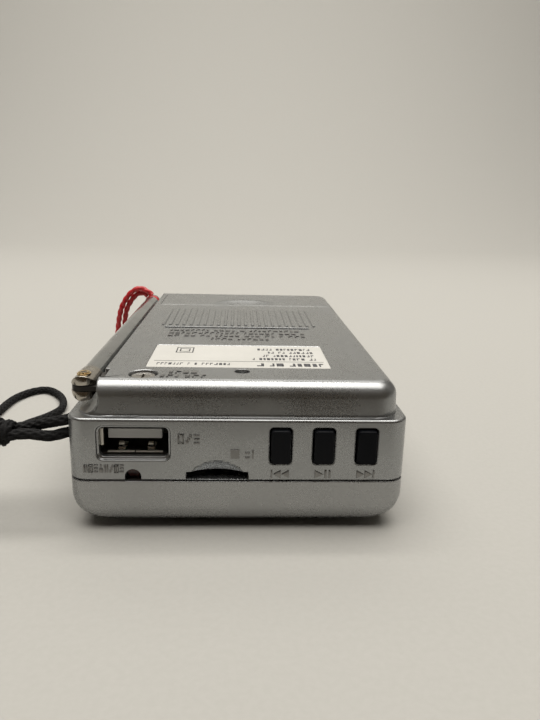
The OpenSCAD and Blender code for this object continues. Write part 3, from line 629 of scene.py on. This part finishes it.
CAD_LOOK = {
    "dial_window": "window", "spec_label": "label", "antenna_screw": "steel", "case_screws": "steel",
    "board_screws": "steel", "antenna_bracket": "bracket", "antenna_stud": "bracket", "antenna_fork": "fork",
    "antenna_rivet": "brass", "antenna_tube_1": "chrome", "antenna_tube_2": "chrome",
    "antenna_tube_3": "chrome", "antenna_rod": "chrome", "antenna_tip": "tip", "player_pcb": "green",
    "usb_shell": "socket_shade", "usb_springs": "shell", "usb_tongue": "tongue", "usb_contacts": "gold",
    "card_socket": "shell", "prev_button": "button", "play_button": "button", "next_button": "button",
    "tact_switches": "can", "play_led": "led", "player_chips": "chip", "main_pcb": "brown",
    "tuning_capacitor": "white", "tuning_wheel": "wheel", "dial_disc": "white", "tuning_screw": "steel",
    "volume_pot": "brown", "volume_wheel": "wheel", "volume_screw": "steel", "tuner_ic": "chip",
    "audio_ic": "chip", "if_cans": "can", "capacitors": "sleeve", "ferrite_rod": "ferrite",
    "antenna_coil": "wire", "rod_holders": "white", "speaker_frame": "can", "speaker_magnet": "magnet",
    "speaker_cone": "paper", "earphone_jack": "jack", "band_switch": "shell", "band_knob": "wheel",
    "battery_1": "cell", "battery_2": "cell", "battery_link": "shell", "battery_plate": "shell",
    "battery_spring": "shell",
}
EDGE = {"antenna_fork": 0.12, "antenna_rivet": 0.05, "antenna_tip": 0.2, "prev_button": 0.22,
        "play_button": 0.22, "next_button": 0.22, "usb_shell": 0.08, "usb_tongue": 0.12,
        "antenna_screw": 0.08, "usb_springs": 0.08, "band_knob": 0.15, "antenna_tube_1": 0.1,
        "tuning_wheel": 0.08, "volume_wheel": 0.08}


def dress_cad(m):
    """Materials for the pieces that keep their CAD shape, with the seen ones' edges rounded."""
    for name, look in CAD_LOOK.items():
        ob = NODES[name]
        ob.data.materials.clear()
        ob.data.materials.append(m[look])
        if name in EDGE:
            w = ob.modifiers.new("weld", "WELD")
            w.merge_threshold = 0.002 * MM
            round_edges(ob, EDGE[name], 40)


# ---------------------------------------------------------------- cords
def add_cords(m):
    strap = [(-28.05, -47.6, 19.5), (-28.6, -47.6, 20.4), (-29.8, -47.6, 20.55), (-32, -47.7, 19.6),
             (-35.2, -47.5, 18.9), (-38.9, -47.0, 18.0), (-42.5, -47.8, 17.6), (-47, -48.2, 16.6),
             (-54, -42, 9), (-59, -30, 2.4), (-59.6, -14, 1.15), (-56.4, -3, 1.15), (-52.2, 4, 1.15),
             (-50.2, 10.5, 1.15), (-51.6, 17.7, 1.15), (-55, 24.2, 1.15), (-59.4, 28, 1.15),
             (-63.2, 26, 1.15), (-65.8, 20.5, 1.15), (-66.6, 14, 1.15), (-66.6, 6, 1.15), (-68, -6, 1.15),
             (-70, -22, 1.15), (-67, -37, 2.8), (-58, -47, 9), (-48, -50.2, 15.5), (-42.5, -50, 17.1),
             (-38.9, -49.4, 17.3), (-35.2, -48.6, 16.6), (-32, -47.8, 17.1), (-29.8, -47.6, 17.2),
             (-28.6, -47.6, 17.35), (-28.05, -47.6, 18.3)]
    weave = {"step": 0.2, "lay": 4.4, "depth": 0.34, "strands": 6, "around": 36}
    ob, total, pts = braid("strap", strap, STRAP_D, **weave)
    ob = seal(ob, "strap", "case", m["strap"], 0)
    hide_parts("strap_cord")

    axis_a, axis_b = Vector((-40.4, -48.9, 17.8)), Vector((-54.8, -49.1, 16.0))
    coil = []
    turns, n = 5.2, 64
    for k in range(n + 1):
        t = k / n
        a = 2 * PI * turns * t
        taper = 0.55 + 0.45 * min(1.0, t / 0.35)
        r = (1.75 + 0.35 * math.sin(PI * t) + 0.2 * math.sin(5 * a)) * taper
        centre = axis_a.lerp(axis_b, 0.12 + 0.74 * t)
        coil.append(centre + Vector((0.12, math.cos(a), math.sin(a))) * r)
    knot = braid("strap_tie", coil, 2.4, **weave)[0]
    knot = seal(knot, "strap_tie", "case", m["strap"], 0)
    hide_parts("strap_knot")
    route = [p * MM for p in pts[::6]] + [pts[-1] * MM]

    y = TIP_Y
    tie = [(-28.8, y, 28.3), (-30.5, y + 0.2, 29.6), (-32.8, y + 0.4, 30.4), (-35.2, y + 0.6, 29.4),
           (-37.4, y + 0.8, 27), (-39.4, y + 1, 23), (-40.6, y + 1.6, 17), (-41.4, y + 2.6, 10),
           (-42, y + 3.6, 4.4), (-41.6, y + 4.6, 1.6), (-40.4, y + 5.6, 3.6), (-39.4, y + 5, 10),
           (-38.8, y + 3.6, 17), (-37.8, y + 2.4, 22.6), (-35.8, y + 1.8, 26.4), (-33.6, y + 1.5, 28.5),
           (-31.6, y + 1.4, 28.6), (-30.4, y + 1.3, 27.9)]
    ob, total, pts = braid("tie", tie, TIE_D, 0.22, 2.4, 0.22, strands=2, around=14, twist=True)
    ob = seal(ob, "tie", "antenna_section_4", m["tie"], 0)
    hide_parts("tie_cord")
    wraps = []
    turns, n = 3.1, 48
    for k in range(n + 1):
        a = 2 * PI * turns * k / n
        wraps.append(Vector((ANT_X, y - 0.75 + 1.5 * k / n, ANT_Z))
                     + 1.85 * Vector((math.cos(a), 0.0, math.sin(a))))
    hitch = braid("tie_wraps", wraps, 1.15, 0.22, 2.4, 0.22, strands=2, around=12, twist=True)[0]
    hitch = seal(hitch, "tie_wraps", "antenna_section_4", m["tie"], 0)
    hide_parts("tie_hitch")
    route = [p * MM for p in pts[::4]] + [pts[-1] * MM]


# ---------------------------------------------------------------- case
def arc(cx, cy, r, a0, a1, n):
    return [(cx + r * math.cos(a0 + (a1 - a0) * k / n), cy + r * math.sin(a0 + (a1 - a0) * k / n))
            for k in range(n + 1)]


def level(inset, z, r):
    """One level of the case's outline, for stack()."""
    return (W - 2 * inset, L - 2 * inset, r, z)


def rounded(inset, top, r, corner, steps):
    """Levels of a rounded upper edge of radius r that ends at the height top."""
    levels = []
    for k in range(1, steps + 1):
        a = PI / 2 * k / steps
        d = r * (1 - math.cos(a))
        levels.append(level(inset + d, top - r + r * math.sin(a), corner - d))
    return levels


def hump():
    """The raised back alone, from which the door is cut."""
    levels = [level(HUMP_IN, BAND_Z - 1.0, 4.5), level(HUMP_IN, T - HUMP_R, 4.5)]
    return stack(levels + rounded(HUMP_IN, T, HUMP_R, 4.5, 8), n=CORNER_STEPS)


def channel():
    """The antenna's channel along one side of the raised back."""
    pts = [(CH_X, T + 3), (-HW - 4, T + 3), (-HW - 4, CH_Z), (CH_X - CH_R, CH_Z)]
    pts += arc(CH_X - CH_R, CH_Z + CH_R, CH_R, -PI / 2, 0, 10)[1:]
    return prism(pts, "Y", -HY - 3, HY + 3)


def channel_rim():
    """Chamfer round the near end of the antenna channel, kept clear of the ledge below."""
    width = 0.38
    loops = []
    for e, y in ((width + 0.4, -HY - 0.34), (width, -HY + 0.06), (0.0, -HY + 0.06 + width)):
        pts = [(CH_X + e, T + 3), (-HW - 4, T + 3), (-HW - 4, CH_Z + 0.02)]
        pts += [(u, max(v, BAND_Z + 0.06)) for u, v in
                arc(CH_X - CH_R, CH_Z + CH_R, CH_R + e, -PI / 2, 0, 10)]
        loops.append([(u, y, v) for u, v in pts])
    return loft(loops[::-1])


def outer_back():
    """Outside of the rear half: seam groove, band, ledge and raised back."""
    levels = [level(0.40, FRONT_H, 3.1), level(0.40, 10.28, 3.1), level(0.10, 10.30, 3.4),
              level(0.02, 10.36, 3.48), level(0, 10.46, 3.5), level(0, 21.5, 3.5)]
    levels += rounded(0, BAND_Z, 0.5, 3.5, 5)
    levels += [level(1.34, BAND_Z, 4.66), level(1.42, 22.05, 4.58), level(1.46, 22.16, 4.54),
               level(1.56, T - HUMP_R, 4.44)]
    return stack(levels + rounded(1.56, T, HUMP_R, 4.44, 8), n=CORNER_STEPS)


def glyph(kind, x, z, w, h):
    """One raised mark on the socket end: abstract strokes that belong to no alphabet."""
    s = 0.3
    parts = {"ring": [(0, w, 0, s), (0, w, h - s, h), (0, s, 0, h), (w - s, w, 0, h)],
             "bars": [(0, w, 0, s), (0, w, h / 2 - s / 2, h / 2 + s / 2), (0, w, h - s, h)],
             "pair": [(0, s, 0, h), (w - s, w, 0, h)],
             "block": [(0, w, 0, h * 0.55), (w * 0.3, w * 0.7, h * 0.7, h)],
             "steps": [(0, w * 0.45, 0, h * 0.4), (w * 0.3, w * 0.75, h * 0.3, h * 0.7),
                       (w * 0.55, w, h * 0.6, h)]}
    return [(x + a, x + b, z + c, z + d) for a, b, c, d in parts[kind]]


def marks():
    """Raised marks and player symbols on the socket end."""
    out = []

    def put(rects):
        for a, b, c, d in rects:
            out.append(box(a, b, NEAR - MARK_OUT, NEAR + MARK_IN, c, d))

    for k, kind in enumerate(("ring", "steps", "bars")):
        put(glyph(kind, -11.0 + k * 1.42, 17.4, 1.1, 1.75))
    for k, kind in enumerate(("pair", "ring", "bars", "block", "pair", "steps", "ring", "bars")):
        put(glyph(kind, -28.0 + k * 0.93, 11.75, 0.72, 1.5))
    put([(-1.5, 0.1, 14.6, 16.3), (1.1, 2.0, 14.6, 14.9), (1.1, 2.0, 15.5, 15.8), (2.4, 2.7, 14.6, 16.2)])
    z0, z1 = 10.75, 12.3
    zm = (z0 + z1) / 2

    def tri(x, w):
        pts = [(x, z0), (x + w, zm), (x, z1)] if w > 0 else [(x, z1), (x + w, zm), (x, z0)]
        out.append(prism(pts, "Y", NEAR - MARK_OUT, NEAR + MARK_IN))

    c = BTN_X
    put([(c - 1.75, c - 1.45, z0, z1)])
    tri(c + 0.1, -1.35)
    tri(c + 1.6, -1.35)
    c += BTN_STEP
    tri(c - 1.5, 1.5)
    put([(c + 0.35, c + 0.7, z0, z1), (c + 1.1, c + 1.45, z0, z1)])
    c += BTN_STEP
    put([(c + 1.45, c + 1.75, z0, z1)])
    tri(c - 1.6, 1.35)
    tri(c - 0.1, 1.35)
    return out


def top_marks():
    """Raised rows of short strokes on the back, where the maker moulds notes."""
    out = []
    gen = random.Random(3)

    def stroke(x0, x1, y0, y1):
        out.append(box(x0, x1, y0, y1, T - 0.3, T + 0.2))

    def row(x0, x1, y, h):
        x = x0
        while x < x1 - 0.5:
            w = gen.uniform(0.55, 1.15)
            kind = gen.choice((0, 1, 2))
            if kind == 0:
                stroke(x, x + w, y, y + h)
            elif kind == 1:
                stroke(x, x + 0.3, y, y + h)
                stroke(x + 0.3, x + w, y + h - 0.35, y + h)
            else:
                stroke(x, x + w, y, y + h * 0.35)
                stroke(x, x + w, y + h * 0.65, y + h)
            x += w + (0.45 if gen.random() < 0.8 else 1.3)

    row(-14.6, -6.6, NEAR + 4.9, 1.5)
    row(-13.2, -7.4, NEAR + 7.5, 1.4)
    row(-6.7, 6.5, NEAR + 36.0, 1.35)
    for y in (39.2, 42.2, 45.2):
        row(-17.0, 16.0, NEAR + y, 1.35)
    return out


def rear_shell(m):
    """Rear half of the case, with its openings, battery bay, ribs and moulded marks."""
    buttons = [BTN_X + i * BTN_STEP for i in range(3)]
    ob = score(outer_back(), (USB_X, SCREW_X, CARD_X, CASE_SCREW_X, *buttons),
               (STRAP_Y, LABEL_Y, JACK_Y, SW_Y), (USB_Z,))
    room = (W - 2 * WALL, L - 2 * WALL, 1.5)
    cutters = [
        stack([(*room, FRONT_H - 1), (*room, BAND_Z - WALL)]),
        box(-24, HX - WALL, -HY + WALL, HY - WALL, BAND_Z - 3, IN_TOP),
        channel(),
        channel_rim(),
        mouth(USB_X, USB_Z, [(13.9, 7.2, 1.6, NEAR - 0.2), (13.3, 6.6, 1.3, NEAR + 0.15),
                             (13.1, 6.4, 1.2, NEAR + 0.5), (12.4, 5.6, 0.9, NEAR + 0.62),
                             (12.4, 5.6, 0.9, NEAR + WALL + 2)]),
        box(CARD_X - 5.65, CARD_X + 5.65, NEAR - 1, NEAR + WALL + 1, 10.45, 11.85),
        stack([(5.0, 5.0, 2.49, T - 1.6), (5.2, 5.2, 2.59, T - 0.3), (5.7, 5.7, 2.84, T + 0.1),
               (5.7, 5.7, 2.84, T + 1)], SCREW_X, SCREW_Y, 12),
        rod("Z", SCREW_X, SCREW_Y, 1.2, 20, T + 2),
        rod("Z", CASE_SCREW_X, CASE_SCREW_Y, 1.45, T - 1.3, T + 2),
        box(CH_X - 0.6, -24.6, AY - 2.8, AY + 2.8, ANT_Z - 2.8, 40),
        rod("X", AY, ANT_Z, 1.4, -25.6, -20.5),
        box(-24.1, -20.4, AY - 2.9, AY + 2.9, 20, ANT_Z + 1.6),
        box(-HW - 1, -26.8, STRAP_Y - 1.9, STRAP_Y + 1.9, STRAP_Z - 2.9, STRAP_Z + 2.9),
        rod("X", JACK_Y, JACK_Z, 3.1, -HW - 1, -HW + 3),
        box(-HW - 1, -HW + 3, SW_Y - 4.2, SW_Y + 4.2, SW_Z - 1.4, SW_Z + 1.4),
        stack([(36.4, 18.5, 0.8, T - 0.2), (36.4, 18.5, 0.8, T + 5)], LABEL_X, LABEL_Y),
        box(-24.0, 40, DOOR_Y, 60, 22.0, 40),
    ]
    for x in buttons:
        cutters.append(mouth(x, BTN_Z, [(4.55, 7.4, 0.9, NEAR - 0.2), (4.3, 7.15, 0.78, NEAR + 0.06),
                                        (4.15, 7.0, 0.7, NEAR + 0.2), (4.15, 7.0, 0.7, NEAR + WALL + 2)]))
    led = [(LED_X - 1.45, 9.5), (LED_X + 1.45, 9.5)] + arc(LED_X, 10.9, 1.45, 0, PI, 16)
    cutters.append(prism(led, "Y", NEAR - 1, NEAR + WALL + 1))
    above_slot = box(-30, 30, NEAR - 20, NEAR + 5, -10, 10.45)
    cutters.append(cut(ball((CARD_X, NEAR - 7.9, 8.15), SCOOP_R), above_slot))
    ob = cut(ob, *cutters)
    strap_bar = rod("Y", -29.6, STRAP_Z, 0.6, STRAP_Y - 2.4, STRAP_Y + 2.4, 24)
    walls = [
        box(-HW + 1.7, HW - 1.7, BAY_Y0 - 1.2, BAY_Y1 + 0.1, BAY_Z - 1, BAY_Z),
        box(-HW + 1.7, HW - 1.7, BAY_Y0 - 1.2, BAY_Y0, BAY_Z - 0.1, 20.3),
        box(-24.1, 27.8, BAY_Y0 - 1.2, BAY_Y0, 20, IN_TOP + 0.1),
        box(-26.8, -26.1, STRAP_Y - 2, STRAP_Y + 2, STRAP_Z - 3.6, 20.3),
        box(-30, -26.1, STRAP_Y - 2, STRAP_Y + 2, STRAP_Z - 3.6, STRAP_Z - 2.9),
    ]
    ribs = []
    for i in range(RIB_COUNT):
        x = RIB_X + i * RIB_STEP
        loops = []
        for e, z in ((0, -0.3), (0, 0.1), (0.16, 0.25)):
            corners = ((e, RIB_Y0 + e), (RIB_W - e, RIB_Y0 + e), (RIB_W - e, RIB_Y1 - e), (e, RIB_Y1 - e))
            loops.append([(x + a, NEAR + y, T + z) for a, y in corners])
        ribs.append(loft(loops))
    ribs.append(box(-18.8, 17.4, NEAR + 49.0, NEAR + 49.75, T - 0.3, T + 0.28))
    ob = add(ob, strap_bar, *walls, *ribs)
    ob = seal(ob, "rear_shell", "case", m["case"], 0.12)
    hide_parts("rear_case")
    made = marks() + top_marks()
    seal(add(made[0], *made[1:]), "moulded_marks", "case", m["marks"], 0.05)


def front_form(w, l, R, rx, ry, z0, rc):
    """Front half: rounded at the sides by rx and at the ends by ry, crowned from side to side by rc."""
    levels = []
    steps = 14
    heights = [z0 + rx * (1 - math.cos(PI / 2 * k / steps)) for k in range(steps + 1)]
    for z in heights + [FRONT_H]:
        up = z - z0
        dx = rx - math.sqrt(max(rx ** 2 - (rx - min(up, rx)) ** 2, 0.0))
        dy = ry - math.sqrt(max(ry ** 2 - (ry - min(up, ry)) ** 2, 0.0))
        levels.append((w - 2 * dx, l - 2 * dy, R + 0.5 * dy, z))
    ob = stack(levels, n=CORNER_STEPS)
    half, parts = 34.0, 60
    a0 = math.asin(half / rc)
    angles = [-a0 + 2 * a0 * k / parts for k in range(parts + 1)]
    pts = [(rc * math.sin(a), CROWN_C - rc * math.cos(a)) for a in angles]
    pts += [(half, 20.0), (-half, 20.0)]
    return keep(ob, prism(pts, "Y", -60, 60))


def front_shell(m):
    """Front half of the case, with its flat panel, speaker slots and dial opening."""
    ob = front_form(W, L, 3.5, SIDE_R, END_R, CROWN_UP, CROWN_R)
    hx, hy, c = PANEL_X, PANEL_Y, PANEL_C
    panel = [(hx, -hy + c), (hx, hy - c), (hx - c, hy), (-hx + c, hy), (-hx, hy - c), (-hx, -hy + c),
             (-hx + c, -hy), (hx - c, -hy)]
    ob = score(join(ob, prism(panel, "Z", 0.0, 3.3)), (SPK_X, (WIN_X0 + WIN_X1) / 2), (TUNE_Y, VOL_Y))
    inside = front_form(W - 2 * WALL, L - 2 * WALL, 2.5, SIDE_R - WALL, END_R - WALL, CROWN_UP + WALL - 0.2,
                        CROWN_R - WALL + 0.2)
    cutters = [inside, box(-hx + WALL, hx - WALL, -hy + WALL, hy - WALL, WALL, 5)]
    for i in range(-6, 7):
        y = SPK_Y + i * SLOT_STEP
        h = math.sqrt(SLOTS_R ** 2 - (SLOT_STEP * i) ** 2)
        cutters.append(box(SPK_X - h, SPK_X + h, y - 0.6, y + 0.6, -1, WALL + 1.4))
    cutters += [
        box(WIN_X0 - 0.15, WIN_X1 + 0.15, TUNE_Y - 7.15, TUNE_Y + 7.15, -1, 5),
        box(WIN_X0 - 1.15, WIN_X1 + 1.15, TUNE_Y - 8.15, TUNE_Y + 8.15, 0.9, 5),
        box(HW - 4, HW + 1, TUNE_Y - 9.3, TUNE_Y + 9.3, WHEEL_Z - 0.4, FRONT_H + 1),
        box(HW - 4, HW + 1, VOL_Y - 6.9, VOL_Y + 6.9, WHEEL_Z - 0.4, FRONT_H + 1),
    ]
    ob = cut(ob, *cutters)
    ob = seal(ob, "front_shell", "case", m["front"], 0.15)
    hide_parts("front_case")


def door_shell(m):
    """Battery door: the far end of the raised back, with a thumb grip and two hooks."""
    ob = hump()
    ob = keep(ob, box(-23.9, 40, DOOR_Y + 0.12, 60, BAND_Z + 0.12, 40))
    grip = cut(ball((1.4, DOOR_Y + 0.9, T + 33.5), GRIP_R, 192, 128),
               box(-60, 60, -60, DOOR_Y + 0.9, -30, 140))
    ob = cut(ob, box(-40, HX - WALL, -60, HY - WALL, BAND_Z - 3, IN_TOP), grip)
    for x in (-14, 8):
        ob = join(ob, box(x, x + 6, DOOR_Y - 1.8, DOOR_Y + 1.6, IN_TOP - 1.15, IN_TOP - 0.15),
                  box(x, x + 6, DOOR_Y + 0.3, DOOR_Y + 1.6, IN_TOP - 1.15, IN_TOP + 0.2))
    ob = seal(ob, "door_shell", "door", m["door"], 0.12)
    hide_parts("battery_door")


def label_print(m):
    """Rows of small strokes on the label, read upside down from the socket end."""
    ink_z, ink_h = T - 0.095, 0.02
    gen = random.Random(11)
    parts = []

    def patch(x0, x1, y0, y1):
        parts.append((x0, x1, y0, y1))

    def row(x0, x1, y0, h, wide=0.62, gap=0.28):
        x = x0
        while x + 0.3 < x1:
            w = gen.uniform(0.6, 1.1) * wide
            kind = gen.random()
            if kind < 0.4:
                patch(x, x + w, y0, y0 + h)
            elif kind < 0.7:
                patch(x, x + w * 0.35, y0, y0 + h)
                patch(x + w * 0.35, x + w, y0 + h * 0.7, y0 + h)
            else:
                patch(x, x + w, y0, y0 + h * 0.3)
                patch(x + w * 0.6, x + w, y0 + h * 0.3, y0 + h)
            x += w + gap + (0.7 if gen.random() < 0.16 else 0)

    patch(-17.2, 17.0, NEAR + 16.8, NEAR + 17.0)
    row(-16.4, -2.0, NEAR + 14.0, 1.5)
    row(3.4, 16.2, NEAR + 13.4, 2.2, 1.3, 0.45)
    for x, y in ((2.6, 18.2), (4.8, 20.9), (6.0, 23.7), (3.8, 26.4)):
        row(x, 15.6, NEAR + y, 1.6)
    for a in (0.0, 1.0):
        x0, x1 = -13.6 + a * 0.75, -9.9 - a * 0.75
        y0, y1 = NEAR + 23.7 + a, NEAR + 28.3 - a
        patch(x0, x1, y0, y0 + 0.3)
        patch(x0, x1, y1 - 0.3, y1)
        patch(x0, x0 + 0.25, y0, y1)
        patch(x1 - 0.25, x1, y0, y1)
    verts, faces = [], []
    for x0, x1, y0, y1 in parts:
        i = len(verts)
        for z in (ink_z, ink_z + ink_h):
            verts += [(x0, y0, z), (x1, y0, z), (x1, y1, z), (x0, y1, z)]
        faces += [(i + 3, i + 2, i + 1, i), (i + 4, i + 5, i + 6, i + 7)]
        faces += [(i + k, i + (k + 1) % 4, i + 4 + (k + 1) % 4, i + 4 + k) for k in range(4)]
    ob = raw("label_print", verts, faces)
    seal(ob, "label_print", "case", m["ink"], 0)


def socket_trim(m):
    """Folded front edges of the socket's sheet metal, seen inside its mouth, coloured lighter than the rest
    of the socket as painted highlight.
    """
    y0, y1 = NEAR + 1.95, NEAR + 2.5
    z0 = USB_Z - 2.55
    parts = [box(USB_X - 5.0, USB_X - 0.1, y0, y1, z0 + 0.02, z0 + 0.24),
             box(USB_X + 0.1, USB_X + 5.0, y0, y1, z0 + 0.02, z0 + 0.24),
             box(USB_X - 6.2, USB_X - 5.65, NEAR + 1.9, NEAR + 2.6, z0 + 1.4, z0 + 4.7)]
    corners = ((-0.55, 0.9), (0.55, 0.9), (0.45, 1.3), (-0.45, 1.3))
    for x in (USB_X - 2.7, USB_X + 2.7):
        loops = [[(x + a, NEAR + 3.4 + t, z0 + b + 0.35 * t) for a, b in corners] for t in (0.5, 0.0)]
        parts.append(loft(loops))
    seal(add(parts[0], *parts[1:]), "socket_trim", "case", m["trim"], 0.05)


# ---------------------------------------------------------------- stage and light
def add_stage():
    """The floor that curves up into the backdrop, and a dark card that only reflections see."""
    w, r, back, high = 1.6, 0.45, 0.55, 1.5
    steps = 24
    angles = [PI / 2 * k / steps for k in range(1, steps + 1)]
    prof = [(-w, 0.0), (back, 0.0)]
    prof += [(back + r * math.sin(a), r - r * math.cos(a)) for a in angles]
    prof.append((back + r, high))
    verts = [(x, y, z) for y, z in prof for x in (-w, w)]
    faces = [(2 * i, 2 * i + 1, 2 * i + 3, 2 * i + 2) for i in range(len(prof) - 1)]
    me = bpy.data.meshes.new("sweep")
    me.from_pydata(verts, [], faces)
    for f in me.polygons:
        f.use_smooth = True
    ob = bpy.data.objects.new("sweep", me)
    link(ob)
    p = Paint("sweep_card", (0.42, 0.411, 0.384), 0.85)
    fine = p.noise(900.0, 4.0)
    p.tone(p.mix(p.span(fine, 0.35, 0.65, 0, 1), (0.415, 0.406, 0.379), (0.428, 0.419, 0.392)))
    p.bump(fine, 0.25, 0.0001)
    me.materials.append(p.mat)

    half, y, low, top = 0.35, -0.115, 0.001, 0.21
    me = bpy.data.meshes.new("flag")
    me.from_pydata([(-half, y, low), (half, y, low), (half, y, top), (-half, y, top)], [], [(0, 1, 2, 3)])
    flag = bpy.data.objects.new("flag", me)
    link(flag)
    q = Paint("flag_cloth", (0.075, 0.055, 0.035), 0.9)
    me.materials.append(q.mat)
    flag.visible_camera = flag.visible_diffuse = False
    flag.visible_shadow = flag.visible_transmission = False


def area(name, place, aim, size, power):
    d = bpy.data.lights.new(name, "AREA")
    d.shape = "RECTANGLE"
    d.size, d.size_y = size
    d.energy = power
    d.color = LAMP
    ob = bpy.data.objects.new(name, d)
    link(ob)
    ob.location = place
    ob.rotation_euler = (Vector(aim) - Vector(place)).to_track_quat("-Z", "Y").to_euler()


def add_light():
    bpy.context.scene.view_settings.view_transform = "Standard"
    world = bpy.data.worlds.new("room")
    bpy.context.scene.world = world
    world.use_nodes = True
    t = world.node_tree
    bg = t.nodes["Background"]
    way = t.nodes.new("ShaderNodeTexCoord")
    part = t.nodes.new("ShaderNodeSeparateXYZ")
    t.links.new(way.outputs["Generated"], part.inputs[0])
    ramp = t.nodes.new("ShaderNodeMapRange")
    t.links.new(part.outputs[1], ramp.inputs["Value"])
    ramp.inputs["From Min"].default_value = -0.75
    ramp.inputs["From Max"].default_value = 0.35
    mix = t.nodes.new("ShaderNodeMix")
    mix.data_type = "RGBA"
    t.links.new(ramp.outputs["Result"], mix.inputs[0])
    mix.inputs[6].default_value = (0.035, 0.026, 0.018, 1)
    mix.inputs[7].default_value = (0.62, 0.58, 0.51, 1)
    t.links.new(mix.outputs[2], bg.inputs["Color"])
    bg.inputs["Strength"].default_value = 0.45
    area("overhead", (0.0, -0.10, 0.9), (0.0, -0.10, 0.0), (1.2, 0.9), 12.6)
    area("back_wash", (0.0, 0.30, 0.95), (0.0, 1.0, 0.5), (0.8, 0.3), 6.2)
    area("rear_panel", (0.0, 0.92, 0.92), (0.0, 0.0, 0.0), (1.3, 0.5), 3.2)


# ---------------------------------------------------------------- build
add_camera()
looks = make_materials()
add_cords(looks)
rear_shell(looks)
front_shell(looks)
door_shell(looks)
label_print(looks)
socket_trim(looks)
dress_cad(looks)
add_stage()
add_light()
